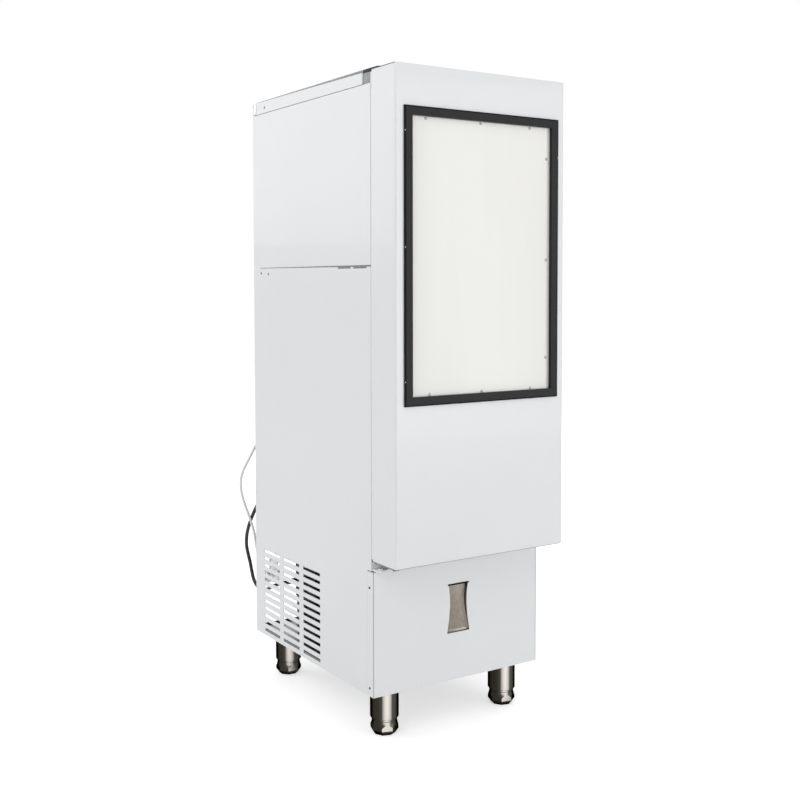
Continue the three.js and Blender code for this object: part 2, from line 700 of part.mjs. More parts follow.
// Evaporator: a grid of tapered ice cells with the serpentine tube brazed across its back
const GRID_RIGHT = GRID.left + GRID.columns * GRID.pitch;
const GRID_LOW = GRID.top - GRID.rows * GRID.pitch;
const GRID_REAR = GRID.front + GRID.depth + GRID.back;
const LINE_TOP = GRID.top - COIL.reach;

function iceCell(x, z) {
  const mouth = ((GRID.pitch - GRID.wall) / 2) * Math.SQRT2;
  const root = mouth - GRID.draft * Math.SQRT2;
  const geometry = new THREE.CylinderGeometry(root, mouth, GRID.depth, 4);
  geometry.rotateY(Math.PI / 4);
  geometry.translate(x, GRID.front + GRID.depth / 2, z);
  return solid(geometry);
}

function evaporator() {
  let body = block([GRID.left, GRID_RIGHT], [GRID.front, GRID_REAR], [GRID_LOW, GRID.top]);
  for (let column = 0; column < GRID.columns; column++) {
    for (let row = 0; row < GRID.rows; row++) {
      const x = GRID.left + (column + 1 / 2) * GRID.pitch;
      const z = GRID_LOW + (row + 1 / 2) * GRID.pitch;
      body = body.subtract(iceCell(x, z));
    }
  }
  const tubeY = GRID_REAR + COIL.radius - COIL.sink;
  const ends = [GRID.left + COIL.reach, GRID_RIGHT - COIL.reach];
  const corners = [];
  for (let pass = 0; pass < COIL.passes; pass++) {
    const z = LINE_TOP - pass * COIL.pitch;
    const [from, to] = pass % 2 === 0 ? [1, 0] : [0, 1];
    corners.push([ends[from], tubeY, z], [ends[to], tubeY, z]);
  }
  const serpentine = pipe(corners, COIL.radius, COIL.pitch / 2);
  const hanger = (x) => {
    const z = [GRID.top - HANGER.width, CHAMBER.ceiling - FIT];
    return block([x, x + HANGER.width], [GRID_REAR - HANGER.sheet, GRID_REAR], z);
  };
  const hangers = [hanger(GRID.left + HANGER.inset), hanger(GRID_RIGHT - HANGER.inset - HANGER.width)];
  return joined([body, serpentine, ...hangers]);
}

// Water circuit inside the chamber: trough, pump and the spray pipe over the grid
function waterTrough() {
  const half = CHAMBER.innerHalf - FIT;
  const z = [TROUGH.floor, TROUGH.floor + TROUGH.height];
  const outer = block(both(half), [TROUGH.front, TROUGH.rear], z);
  const inside = grown([TROUGH.front, TROUGH.rear], -TROUGH.wall);
  return outer.subtract(block(both(half - TROUGH.wall), inside, [z[0] + TROUGH.wall, z[1] + OVERRUN]));
}

const PUMP_LOW = TROUGH.floor + TROUGH.wall + FIT;

function waterPump() {
  const top = PUMP_LOW + PUMP.height;
  const body = turned([
    [0, PUMP_LOW],
    [PUMP.footRadius, PUMP_LOW],
    [PUMP.footRadius, PUMP_LOW + PUMP.foot],
    [PUMP.radius, PUMP_LOW + PUMP.foot + SHEET],
    [PUMP.radius, top],
    [0, top],
  ]).translate([PUMP.x, SPRAY.y, 0]);
  const outletZ = PUMP_LOW + PUMP.foot / 2;
  const arm = bar("x", SPRAY.radius, [PUMP.x, SPRAY.riser + SPRAY.radius], [SPRAY.y, outletZ], PIPE_SIDES);
  const spout = bar("z", SPRAY.radius, [outletZ, outletZ + PUMP.outlet], [SPRAY.riser, SPRAY.y], PIPE_SIDES);
  return joined([body, arm, spout]);
}

function sprayPipe() {
  const foot = PUMP_LOW + PUMP.foot / 2 + PUMP.outlet + FIT;
  const corners = [
    [SPRAY.start, SPRAY.y, SPRAY.z],
    [SPRAY.riser, SPRAY.y, SPRAY.z],
    [SPRAY.riser, SPRAY.y, foot],
  ];
  return pipe(corners, SPRAY.radius, LINES.bend);
}

// Splash curtain hung on two pins in the chamber's ears
function splashCurtain() {
  const x = [CURTAIN.left, CURTAIN.right];
  const y = [CURTAIN.y - CURTAIN.sheet / 2, CURTAIN.y + CURTAIN.sheet / 2];
  const plate = block(x, y, [CURTAIN.z - CURTAIN.length, CURTAIN.z]);
  const rod = bar("x", CURTAIN.pin, grown(x, CURTAIN.ear), [CURTAIN.y, CURTAIN.z], PIPE_SIDES);
  return plate.add(rod);
}

// Control fascia: an open-backed pan in the frame's upper opening, with a rocker in two ears
function controlFascia() {
  const half = CHAMBER.innerHalf - FIT;
  const z = [CHAMBER.ceiling + LINER + FIT, CHAMBER.hatchTop - FIT];
  const y = [BODY_FRONT + FIT, BODY_FRONT + FASCIA.depth];
  const outer = block(both(half), y, z);
  const hollowY = [y[0] + FASCIA.sheet, y[1] + OVERRUN];
  const hollow = block(both(half - FASCIA.sheet), hollowY, grown(z, -FASCIA.sheet));
  const holeX = grown([ROCKER.x - ROCKER.half, ROCKER.x + ROCKER.half], FIT);
  const holeZ = grown([ROCKER.z - ROCKER.rise, ROCKER.z + ROCKER.rise], SHEET);
  const hole = block(holeX, [y[0] - OVERRUN, y[1]], holeZ);
  const pivot = y[0] + ROCKER.depth;
  const ear = (x) => {
    const depth = [y[0] + FASCIA.sheet / 2, pivot + ROCKER.ear];
    const plate = block([x, x + ROCKER.ear], depth, grown([ROCKER.z, ROCKER.z], ROCKER.depth));
    const through = [x - OVERRUN, x + OVERRUN + ROCKER.ear];
    const bore = bar("x", ROCKER.pin + FIT, through, [pivot, ROCKER.z], PIPE_SIDES);
    return plate.subtract(bore);
  };
  const body = cut(outer, [hollow, hole]);
  return joined([body, ear(holeX[0] - ROCKER.ear), ear(holeX[1])]);
}

function rockerSwitch() {
  const side = outline([
    [-ROCKER.nose, -ROCKER.rise],
    [ROCKER.back, -ROCKER.rise / 2],
    [ROCKER.back, ROCKER.rise / 2],
    [-ROCKER.nose, ROCKER.rise],
    [-ROCKER.waist, 0],
  ]);
  const key = sidePlate(side, both(ROCKER.half));
  const pin = bar("x", ROCKER.pin, both(ROCKER.half + ROCKER.ear), [0, 0], PIPE_SIDES);
  return key.add(pin).rotate([-ROCKER.tilt, 0, 0]);
}

// Tap on the front wall behind the door, with a paddle that hangs from two lugs
function tapBody() {
  const wall = BODY_FRONT - FIT;
  const flange = block(both(TAP.flangeHalf), [wall - TAP.flange, wall], grown([TAP.z, TAP.z], TAP.rise));
  const nose = wall - TAP.reach;
  const side = outline([
    [wall - SHEET, TAP.z - TAP.rise / 2],
    [wall - SHEET, TAP.z + TAP.rise],
    [wall - TAP.reach / 2, TAP.z + TAP.rise],
    [nose + TAP.flange, TAP.z + TAP.rise / 2],
    [nose, TAP.z],
    [nose, TAP.z - TAP.drop],
    [nose + 2 * TAP.nozzle, TAP.z - TAP.drop],
    [wall - TAP.reach / 2, TAP.z - TAP.rise / 2],
  ]);
  const spout = sidePlate(side, both(TAP.half));
  const lug = (x) => {
    const depth = grown([PADDLE_Y, PADDLE_Y], PADDLE.lug);
    const plate = block([x, x + PADDLE.ear], depth, [PADDLE_Z - PADDLE.lug, TAP.z]);
    const bore = bar("x", PADDLE.pin + FIT, [x - OVERRUN, x + OVERRUN + PADDLE.ear], [PADDLE_Y, PADDLE_Z]);
    return plate.subtract(bore);
  };
  const reach = PADDLE.half + FIT;
  return joined([flange, spout, lug(-reach - PADDLE.ear), lug(reach)]);
}

const PADDLE_Y = BODY_FRONT - PADDLE.pivotOut;
const PADDLE_Z = TAP.z - TAP.drop - PADDLE.lug;

function tapLever() {
  const y = grown([PADDLE_Y, PADDLE_Y], PADDLE.sheet / 2);
  const paddle = rectangle(both(PADDLE.half), [PADDLE_Z - PADDLE.length, PADDLE_Z], PADDLE.lug);
  const pin = bar("x", PADDLE.pin, both(PADDLE.half + PADDLE.ear), [PADDLE_Y, PADDLE_Z]);
  return frontPlate(paddle, y).add(pin);
}

function dripTray() {
  const y = [BODY_FRONT - FIT - TRAY.depth, BODY_FRONT - FIT];
  const z = [TRAY.z, TRAY.z + TRAY.height];
  const outer = block(both(TRAY.half), y, z);
  const well = block(both(TRAY.half - TRAY.wall), grown(y, -TRAY.wall), [z[0] + TRAY.wall, z[1] + OVERRUN]);
  const bars = [];
  const pitch = (2 * TRAY.half) / (TRAY.bars + 1);
  for (let i = 1; i <= TRAY.bars; i++) {
    const x = -TRAY.half + i * pitch;
    bars.push(block(grown([x, x], TRAY.wall / 2), y, [z[1] - TRAY.wall, z[1]]));
  }
  return joined([outer.subtract(well), ...bars]);
}

// Machine bay: compressor can on its feet plate, with a suction and a discharge stub
const CAN_LOW = PAN_TOP + COMPRESSOR.foot;
const CAN_TOP = CAN_LOW + COMPRESSOR.height;

function compressor() {
  const rise = COMPRESSOR.skirt;
  const r = COMPRESSOR.radius;
  const profile = [[0, CAN_LOW], [r - rise, CAN_LOW], [r, CAN_LOW + rise]];
  const shoulder = CAN_TOP - r / 2;
  for (let i = 0; i <= BEND_STEPS; i++) {
    const angle = (i / (BEND_STEPS + 1)) * (Math.PI / 2);
    profile.push([r * Math.cos(angle), shoulder + (r / 2) * Math.sin(angle)]);
  }
  profile.push([0, CAN_TOP]);
  const can = turned(profile, ROUND_SIDES).translate([COMPRESSOR.x, COMPRESSOR.y, 0]);
  const half = COMPRESSOR.footHalf;
  const plateX = grown([COMPRESSOR.x, COMPRESSOR.x], half);
  const plateY = grown([COMPRESSOR.y, COMPRESSOR.y], half);
  const plate = block(plateX, plateY, [CAN_LOW, CAN_LOW + COMPRESSOR.plate]);
  const feet = [];
  for (const x of grown(plateX, -COMPRESSOR.grommet)) {
    for (const y of grown(plateY, -COMPRESSOR.grommet)) {
      feet.push(bar("z", COMPRESSOR.grommet, [PAN_TOP + FIT, CAN_LOW + SHEET], [x, y], PIPE_SIDES));
    }
  }
  return joined([can, plate, ...feet]);
}

// Condenser: a finned core between end plates, with its return bends at both ends
const CORE = {
  x: [CONDENSER.left, CONDENSER.left + CONDENSER.width],
  y: [CONDENSER.front, CONDENSER.front + CONDENSER.depth],
  z: [PAN_TOP + FIT, PAN_TOP + FIT + CONDENSER.height],
};

function condenser() {
  let body = block(CORE.x, CORE.y, CORE.z);
  const first = CORE.x[0] + CONDENSER.endPlate;
  const pitch = (CORE.x[1] - CORE.x[0] - 2 * CONDENSER.endPlate) / CONDENSER.fins;
  const gap = pitch * CONDENSER.finShare;
  const slotZ = grown(CORE.z, -CONDENSER.finEdge);
  const middle = (CORE.y[0] + CORE.y[1]) / 2;
  for (let i = 0; i < CONDENSER.fins; i++) {
    const x = first + i * pitch + gap / 2;
    const front = block([x, x + gap], [CORE.y[0] - OVERRUN, middle - CONDENSER.endPlate], slotZ);
    const rear = block([x, x + gap], [middle + CONDENSER.endPlate, CORE.y[1] + OVERRUN], slotZ);
    body = cut(body, [front, rear]);
  }
  const step = (CORE.z[1] - CORE.z[0]) / (CONDENSER.tubes + 1);
  const bends = [];
  for (let i = 1; i < CONDENSER.tubes; i++) {
    const z = CORE.z[0] + i * step;
    const [end, way] = i % 2 === 0 ? [CORE.x[0] + SHEET, -1] : [CORE.x[1] - SHEET, 1];
    const reach = end + way * CONDENSER.bendReach;
    const corners = [
      [end, middle, z],
      [reach, middle, z],
      [reach, middle, z + step],
      [end, middle, z + step],
    ];
    bends.push(pipe(corners, CONDENSER.tube, 2 * CONDENSER.tube, HEX_SIDES));
  }
  return joined([body, ...bends]);
}

const FAN_X = (CORE.x[0] + CORE.x[1]) / 2;
const FAN_Z = (CORE.z[0] + CORE.z[1]) / 2;
const SHROUD_FRONT = CORE.y[1] + FIT;
const SHROUD_REAR = SHROUD_FRONT + SHROUD.depth;

function fanShroud() {
  const wall = block(CORE.x, [SHROUD_FRONT, SHROUD_REAR], CORE.z);
  const hollow = block(
    grown(CORE.x, -SHROUD.sheet),
    [SHROUD_FRONT - OVERRUN, SHROUD_REAR - SHROUD.sheet],
    grown(CORE.z, -SHROUD.sheet),
  );
  const mouthY = [SHROUD_FRONT, SHROUD_REAR + OVERRUN];
  const mouth = bar("y", FAN.radius + SHROUD.clearance, mouthY, [FAN_X, FAN_Z], LEG_SIDES);
  return cut(wall, [hollow, mouth]);
}

// One blade: a thin plate drawn out along the radius and twisted steadily to its tip
function fanBladeAt(angle) {
  const section = rectangle(both(FAN.chord / 2), both(FAN.sheet / 2));
  const root = FAN.hub - SHEET;
  const depth = FAN.radius - root;
  const geometry = new THREE.ExtrudeGeometry(section, { depth, steps: FAN.slices, bevelEnabled: false });
  const places = geometry.attributes.position;
  const point = new THREE.Vector3();
  const axis = new THREE.Vector3(0, 0, 1);
  for (let i = 0; i < places.count; i++) {
    point.fromBufferAttribute(places, i);
    const share = point.z / depth;
    const twist = THREE.MathUtils.lerp(FAN.rootTwist, FAN.tipTwist, share);
    point.applyAxisAngle(axis, THREE.MathUtils.degToRad(twist - 90));
    places.setXYZ(i, point.x, point.y, point.z + root);
  }
  geometry.rotateY(angle);
  return solid(geometry);
}

function fanBlade() {
  const hub = bar("y", FAN.hub, both(FAN.hubDepth / 2), [0, 0]);
  const blades = [];
  for (let i = 0; i < FAN.blades; i++) blades.push(fanBladeAt((2 * Math.PI * i) / FAN.blades));
  const wheel = joined([hub, ...blades]);
  const face = block(both(FAN.radius), [FAN.hubDepth / 2, FAN.radius], both(FAN.radius));
  const back = block(both(FAN.radius), [-FAN.radius, -FAN.hubDepth / 2], both(FAN.radius));
  const bore = bar("y", MOTOR.shaft + FIT, [0, FAN.radius], [0, 0], PIPE_SIDES);
  return cut(wheel, [face, back, bore]);
}

const FAN_Y = SHROUD_FRONT + SHROUD.clearance + FAN.hubDepth / 2;
const MOTOR_FRONT = SHROUD_REAR + FIT;

function fanMotor() {
  const can = bar("y", MOTOR.radius, [MOTOR_FRONT, MOTOR_FRONT + MOTOR.depth], [FAN_X, FAN_Z]);
  const shaft = bar("y", MOTOR.shaft, [FAN_Y + SHEET, MOTOR_FRONT + SHEET], [FAN_X, FAN_Z], PIPE_SIDES);
  const armY = [MOTOR_FRONT, MOTOR_FRONT + MOTOR.armSheet];
  const across = block(CORE.x, armY, grown([FAN_Z, FAN_Z], MOTOR.arm / 2));
  const upright = block(grown([FAN_X, FAN_X], MOTOR.arm / 2), armY, CORE.z);
  return joined([can, shaft, across, upright]);
}

// Refrigerant lines: the suction line up the rear duct with the capillary soldered along it
const DUCT_Y = FOAM_REAR + REAR_WALL.duct / 2;

function refrigerantLines() {
  const lineX = LINES.chamberX;
  const gridBack = GRID_REAR + 2 * COIL.radius - COIL.sink + FIT;
  const bottom = CAN_TOP + FIT;
  const over = CAN_TOP + 2 * LINES.bend;
  const corners = [
    [COMPRESSOR.x, COMPRESSOR.y, bottom],
    [COMPRESSOR.x, COMPRESSOR.y, over],
    [COMPRESSOR.x, DUCT_Y, over],
    [lineX, DUCT_Y, over + COMPRESSOR.x],
    [lineX, DUCT_Y, LINE_TOP],
    [lineX, gridBack, LINE_TOP],
  ];
  const suction = pipe(corners, LINES.suction, LINES.bend);
  const drier = turned([
    [0, DRIER.low],
    [DRIER.neck, DRIER.low],
    [DRIER.radius, DRIER.low + DRIER.neck],
    [DRIER.radius, DRIER.low + DRIER.length - DRIER.neck],
    [DRIER.neck, DRIER.low + DRIER.length],
    [0, DRIER.low + DRIER.length],
  ]).translate([DRIER.x, DRIER.y, 0]);
  const capillary = pipe([
    [DRIER.x, DRIER.y, DRIER.low + DRIER.length - DRIER.neck],
    [DRIER.x, DRIER.y, over],
    [COMPRESSOR.x - LINES.bend, DUCT_Y, over],
    [COMPRESSOR.x, DUCT_Y, over],
  ], LINES.capillary, LINES.bend, HEX_SIDES);
  const inlet = pipe([
    [CORE.x[1] + FIT, CORE.y[1] - LINES.bend, DRIER.low],
    [CORE.x[1] + DRIER.neck, CORE.y[1] - LINES.bend, DRIER.low],
    [CORE.x[1] + DRIER.neck, DRIER.y, DRIER.low],
    [DRIER.x, DRIER.y, DRIER.low],
    [DRIER.x, DRIER.y, DRIER.low + DRIER.neck],
  ], LINES.capillary, DRIER.neck / 2, HEX_SIDES);
  return joined([suction, drier, capillary, inlet]);
}

function dischargePipe() {
  const side = COMPRESSOR.x - COMPRESSOR.radius + DISCHARGE.bend;
  const z = CORE.z[1] + DISCHARGE.bend;
  return pipe([
    [side, COMPRESSOR.y, CAN_TOP - DISCHARGE.bend / 2],
    [side, COMPRESSOR.y, z],
    [CORE.x[1] - CONDENSER.finEdge, COMPRESSOR.y, z],
    [CORE.x[1] - CONDENSER.finEdge, (CORE.y[0] + CORE.y[1]) / 2, z],
    [CORE.x[1] - CONDENSER.finEdge, (CORE.y[0] + CORE.y[1]) / 2, CORE.z[1] + FIT],
  ], DISCHARGE.radius, DISCHARGE.bend / 2);
}

function terminalBox() {
  const x = [BOX.left, BOX.left + BOX.width];
  const y = [BOX.front, BOX.front + BOX.depth];
  const body = block(x, y, [BOX.low, BOX.low + BOX.height]);
  const foot = block(x, [y[1] - BOX.sheet, y[1]], [PAN_TOP + FIT, BOX.low + BOX.sheet]);
  const toe = block(x, [y[1] - BOX.depth / 2, y[1]], [PAN_TOP + FIT, PAN_TOP + FIT + BOX.sheet]);
  return joined([body, foot, toe]);
}

function cordGland() {
  const end = BOX.left - FIT;
  const nut = bar("x", GLAND.nut, [end - GLAND.length / 2, end], [GLAND.y, GLAND.z], HEX_SIDES);
  const neck = bar("x", GLAND.radius, [end - GLAND.length, end], [GLAND.y, GLAND.z]);
  return nut.add(neck);
}

// Inlet valve on the left wall: a body with a rear port, a solenoid and its mounting plate
function inletValve() {
  const y = [VALVE.rear - VALVE.depth, VALVE.rear - VALVE.portLength];
  const x = grown([VALVE.x, VALVE.x], VALVE.half);
  const z = grown([VALVE.z, VALVE.z], VALVE.half);
  const body = block(x, y, z);
  const port = bar("y", VALVE.port, [y[1] - SHEET, VALVE.rear], [VALVE.x, VALVE.z]);
  const middle = (y[0] + y[1]) / 2;
  const solenoid = bar("z", VALVE.solenoid, [z[1] - SHEET, z[1] + VALVE.solenoidRise], [VALVE.x, middle]);
  const plate = block([-PAN_SIDE, -PAN_SIDE + PLATE], y, z);
  const arm = block([-PAN_SIDE, x[0] + SHEET], y, [z[0], z[0] + PLATE]);
  return joined([body, port, solenoid, plate, arm]);
}

// Drawer front: a folded pan whose skin has the hourglass opening of the pull
function hourglass(by, topBy) {
  const top = [PULL.topHalf + by, PULL.top];
  const foot = [PULL.bottomHalf + by, PULL.bottom - by];
  const waist = [PULL.waistHalf + by - PULL.soft, PULL.waist];
  const shape = new THREE.Shape();
  shape.moveTo(-foot[0], foot[1]);
  shape.lineTo(...foot);
  shape.quadraticCurveTo(...waist, ...top);
  if (topBy > 0) {
    shape.lineTo(top[0], top[1] + topBy);
    shape.lineTo(-top[0], top[1] + topBy);
  }
  shape.lineTo(-top[0], top[1]);
  shape.quadraticCurveTo(-waist[0], waist[1], -foot[0], foot[1]);
  return shape;
}

function drawerFront() {
  const skin = rectangle([LEFT, RIGHT], [BODY_BOTTOM, DRAWER_TOP]);
  skin.holes.push(hourglass(0, 0));
  const deep = [DRAWER.front, DRAWER.flangeBack];
  const z = [BODY_BOTTOM, DRAWER_TOP];
  return joined([
    frontPlate(skin, [DRAWER.front, DRAWER.front + SHEET]),
    block([LEFT, LEFT + SHEET], deep, z),
    block([RIGHT - SHEET, RIGHT], deep, z),
    block([LEFT, RIGHT], deep, [z[1] - SHEET, z[1]]),
    block([LEFT, RIGHT], [DRAWER.front, DRAWER.front + DRAWER.foot], [z[0], z[0] + SHEET]),
  ]);
}

// Pull: a pressed dish behind the skin, shallow at the bottom and deep under the top edge
function drawerPull() {
  const face = DRAWER.front + SHEET + FIT;
  const wedge = (by) => outline([
    [face - OVERRUN, PULL.bottom - OVERRUN],
    [face + PULL.shallow + by, PULL.bottom - OVERRUN],
    [face + PULL.shallow + by, PULL.bottom],
    [face + PULL.deep + by, PULL.top - PULL.soft],
    [face + PULL.deep + by, PULL.top + PULL.hook + OVERRUN],
    [face - OVERRUN, PULL.top + PULL.hook + OVERRUN],
  ]);
  const width = both(RIGHT);
  const deep = face + PULL.deep + OVERRUN;
  const outer = frontPlate(hourglass(PULL.soft, PULL.hook + PULL.sheet), [face, deep]);
  const inner = frontPlate(hourglass(PULL.soft - PULL.sheet, PULL.hook), [face - OVERRUN, deep]);
  const dish = outer.intersect(sidePlate(wedge(PULL.sheet), width));
  return dish.subtract(inner.intersect(sidePlate(wedge(0), width)));
}

// Drawer box: an inner front plate and a sheet tray whose side flanges ride in the runners
function drawerBox() {
  const front = DRAWER.boxFront;
  const sheet = DRAWER.sheet;
  const half = DRAWER.boxHalf;
  const y = [front, DRAWER.boxRear];
  const z = [DRAWER.boxLow, DRAWER.boxTop];
  const plateHalf = WALL_INSIDE - STORE_GAP - FIT;
  const plate = block(both(plateHalf), [front, front + sheet], [DRAWER.innerLow, DRAWER.innerTop]);
  const tray = block(both(half), y, z);
  const well = block(both(half - sheet), [y[0] + sheet, y[1] - sheet], [z[0] + sheet, z[1] + OVERRUN]);
  const flangeLow = RUNNER.low + RUNNER.sheet + FIT;
  const reach = PAN_SIDE - RUNNER.sheet - FIT;
  const flange = (x) => block(x, y, [flangeLow, flangeLow + sheet]);
  const body = joined([plate, tray, flange([-reach, -half + sheet]), flange([half - sheet, reach])]);
  return body.subtract(well);
}

function runner(side) {
  const wall = RIGHT - PAN_SIDE;
  const y = [DRAWER.boxFront + RUNNER.setBack, DRAWER.boxFront + RUNNER.setBack + RUNNER.length];
  const z = [RUNNER.low, RUNNER.low + RUNNER.height];
  const channel = block(inward(side, wall, wall + RUNNER.width), y, z);
  const slotX = inward(side, wall + RUNNER.sheet, wall + RUNNER.width + OVERRUN);
  return channel.subtract(block(slotX, grown(y, OVERRUN), grown(z, -RUNNER.sheet)));
}

// A box whose sides draw in towards the bottom
function tapered([x0, x1], [y0, y1], [z0, z1], draft) {
  const [w, d, h] = [x1 - x0, y1 - y0, z1 - z0];
  const geometry = new THREE.BoxGeometry(w, d, h);
  const places = geometry.attributes.position;
  for (let i = 0; i < places.count; i++) {
    const low = places.getZ(i) < 0;
    const x = places.getX(i);
    const y = places.getY(i);
    if (low) places.setXY(i, x - Math.sign(x) * draft, y - Math.sign(y) * draft);
  }
  geometry.translate((x0 + x1) / 2, (y0 + y1) / 2, (z0 + z1) / 2);
  return solid(geometry);
}

function waterTub() {
  const low = DRAWER.boxLow + DRAWER.sheet + FIT;
  const z = [low, low + TUB.height];
  const x = both(DRAWER.boxHalf - TUB.sideGap);
  const y = grown([DRAWER.boxFront, DRAWER.boxRear], -TUB.endGap);
  const outer = tapered(x, y, z, TUB.draft);
  const rim = block(grown(x, TUB.rim), grown(y, TUB.rim - TUB.wall), [z[1] - TUB.wall, z[1]]);
  const inside = [z[0] + TUB.wall, z[1] + OVERRUN];
  const hollow = tapered(grown(x, -TUB.wall), grown(y, -TUB.wall), inside, TUB.draft);
  return outer.add(rim).subtract(hollow);
}

// Door shell: sheet folded round the edges, with a window opening and pin holes
const PIVOT = [LEFT + HINGE.x, DOOR_BACK - HINGE.back];

function doorOutline(by) {
  const [x0, x1] = [LEFT + by, RIGHT - by];
  const [y0, y1] = [DOOR_FRONT + by, DOOR_BACK - by];
  const r = DOOR.corner - by;
  const shape = new THREE.Shape();
  shape.moveTo(x0 + r, y0);
  shape.lineTo(x1 - r, y0);
  shape.absarc(x1 - r, y0 + r, r, -Math.PI / 2, 0);
  shape.lineTo(x1, y1);
  shape.lineTo(x0, y1);
  shape.lineTo(x0, y0 + r);
  shape.absarc(x0 + r, y0 + r, r, Math.PI, 1.5 * Math.PI);
  return shape;
}

function pinBores(clearance) {
  const radius = HINGE.pin + clearance;
  const low = bar("z", radius, [DOOR_BOTTOM - OVERRUN, DOOR_BOTTOM + HINGE.insert + FIT + SHEET], PIVOT);
  const high = bar("z", radius, [DOOR_TOP - HINGE.insert - FIT - SHEET, DOOR_TOP + OVERRUN], PIVOT);
  return low.add(high);
}

function doorShell() {
  const z = [DOOR_BOTTOM, DOOR_TOP];
  const outer = planPlate(doorOutline(0), z);
  const inner = planPlate(doorOutline(SHEET), grown(z, -SHEET));
  const open = grown([LEFT, RIGHT], -DOOR.backReturn);
  const back = block(open, [DOOR_BACK - OVERRUN, DOOR_BACK + OVERRUN], grown(z, -DOOR.backReturn));
  const seat = WINDOW.half - WINDOW.seat;
  const windowZ = grown([WINDOW.low, WINDOW.high], -WINDOW.seat);
  const opening = block(both(seat), [DOOR_FRONT - OVERRUN, DOOR_FRONT + OVERRUN], windowZ);
  return cut(outer, [inner, back, opening, pinBores(DOOR.boreClear)]);
}

const PANEL_FRONT = DOOR_FRONT + WINDOW.behind;
const PANEL_REAR = PANEL_FRONT + WINDOW.panel;
const BOARD_REAR = DOOR_FRONT + WINDOW.boxDepth;

function pocketBlock(by, run) {
  const y = [DOOR_BACK - DOOR.linerSheet - POCKET.depth - by, DOOR_BACK + run];
  return block(both(POCKET.half + by), y, grown([POCKET.low, POCKET.high], by));
}

function doorCore() {
  const z = grown([DOOR_BOTTOM, DOOR_TOP], -SHEET - FIT);
  const body = planPlate(doorOutline(SHEET + FIT), z);
  const back = DOOR_BACK - DOOR.linerSheet - FIT;
  const skim = block([LEFT, RIGHT], [back, DOOR_BACK], grown(z, OVERRUN));
  const seat = WINDOW.half - WINDOW.seat;
  const seatZ = grown([WINDOW.low, WINDOW.high], -WINDOW.seat);
  const rebate = block(both(seat), [DOOR_FRONT, PANEL_REAR + FIT], seatZ);
  const lightBox = block(both(seat - WINDOW.ledge), [DOOR_FRONT, BOARD_REAR], grown(seatZ, -WINDOW.ledge));
  const pocket = pocketBlock(DOOR.linerSheet + FIT, OVERRUN);
  return cut(body, [skim, rebate, lightBox, pocket, pinBores(DOOR.boreClear)]);
}

function doorLiner() {
  const half = RIGHT - DOOR.backReturn - FIT;
  const z = grown([DOOR_BOTTOM, DOOR_TOP], -DOOR.backReturn - FIT);
  const plate = block(both(half), [DOOR_BACK - DOOR.linerSheet, DOOR_BACK], z);
  return plate.add(pocketBlock(DOOR.linerSheet, 0)).subtract(pocketBlock(0, OVERRUN));
}

function doorGasket() {
  const z = [DOOR_BOTTOM + GASKET.sillGap, TOP - FRAME.topLedge - GASKET.sillGap];
  const ring = (outer, width, zRange, depth) => {
    const shape = rectangle(both(outer), zRange);
    shape.holes.push(rectangle(both(outer - width), grown(zRange, -width)));
    return frontPlate(shape, [DOOR_BACK + FIT, DOOR_BACK + depth]);
  };
  const lipHalf = RIGHT - GASKET.inset;
  const fin = ring(lipHalf + GASKET.fin, GASKET.fin + GASKET.width, grown(z, SHEET), GASKET.finSheet + FIT);
  return fin.add(ring(lipHalf, GASKET.width, grown(z, -SHEET), DOOR_GAP - FIT));
}

// Window: a raised frame with an inner leg, the lit panel behind it and the light board
function windowFrame() {
  const z = [WINDOW.low, WINDOW.high];
  const ring = (outer, inner, y) => {
    const shape = rectangle(both(WINDOW.half - outer), grown(z, -outer));
    shape.holes.push(rectangle(both(WINDOW.half - inner), grown(z, -inner)));
    return frontPlate(shape, y);
  };
  const face = ring(WINDOW.lip / 2, WINDOW.face, [DOOR_FRONT - WINDOW_PROUD, DOOR_FRONT - FIT]);
  const lip = ring(0, WINDOW.lip, [DOOR_FRONT - WINDOW_PROUD + SHEET, DOOR_FRONT - FIT]);
  const legY = [DOOR_FRONT - FIT - SHEET, PANEL_FRONT - FIT];
  const leg = ring(WINDOW.face - WINDOW.legSheet, WINDOW.face, legY);
  return joined([face, lip, leg]);
}

function windowPanel() {
  const inset = WINDOW.seat + FIT;
  const shape = rectangle(both(WINDOW.half - inset), grown([WINDOW.low, WINDOW.high], -inset));
  return frontPlate(shape, [PANEL_FRONT, PANEL_REAR]);
}

function lightBoard() {
  const inset = WINDOW.seat + WINDOW.ledge + FIT;
  const half = WINDOW.half - inset;
  const z = grown([WINDOW.low, WINDOW.high], -inset);
  const y = [BOARD_REAR - FIT - LIGHTS.sheet, BOARD_REAR - FIT];
  const strips = [];
  const pitch = (2 * half) / LIGHTS.strips;
  for (let i = 0; i < LIGHTS.strips; i++) {
    const x = -half + (i + 1 / 2) * pitch;
    const width = grown([x, x], LIGHTS.stripWidth / 2);
    const depth = [y[0] - LIGHTS.stripSheet, y[0] + LIGHTS.stripSheet / 2];
    strips.push(block(width, depth, grown(z, -LIGHTS.margin)));
  }
  return joined([block(both(half), y, z), ...strips]);
}

// Hinge brackets: a leg on the frame and an arm under or over the door with the pin on it
function hingeArm(z) {
  const x = LEFT + FIT;
  const shape = outline([
    [x + STORE_GAP, BODY_FRONT - FIT],
    [x + STORE_GAP, PIVOT[1] - HINGE.nose / 2],
    [PIVOT[0] - HINGE.nose / 2, PIVOT[1] - HINGE.nose],
    [PIVOT[0] + HINGE.nose / 2, PIVOT[1] - HINGE.nose],
    [LEFT + HINGE.inboard, BODY_FRONT - FIT - HINGE.nose],
    [LEFT + HINGE.inboard, BODY_FRONT - FIT],
  ]);
  return planPlate(shape, z);
}

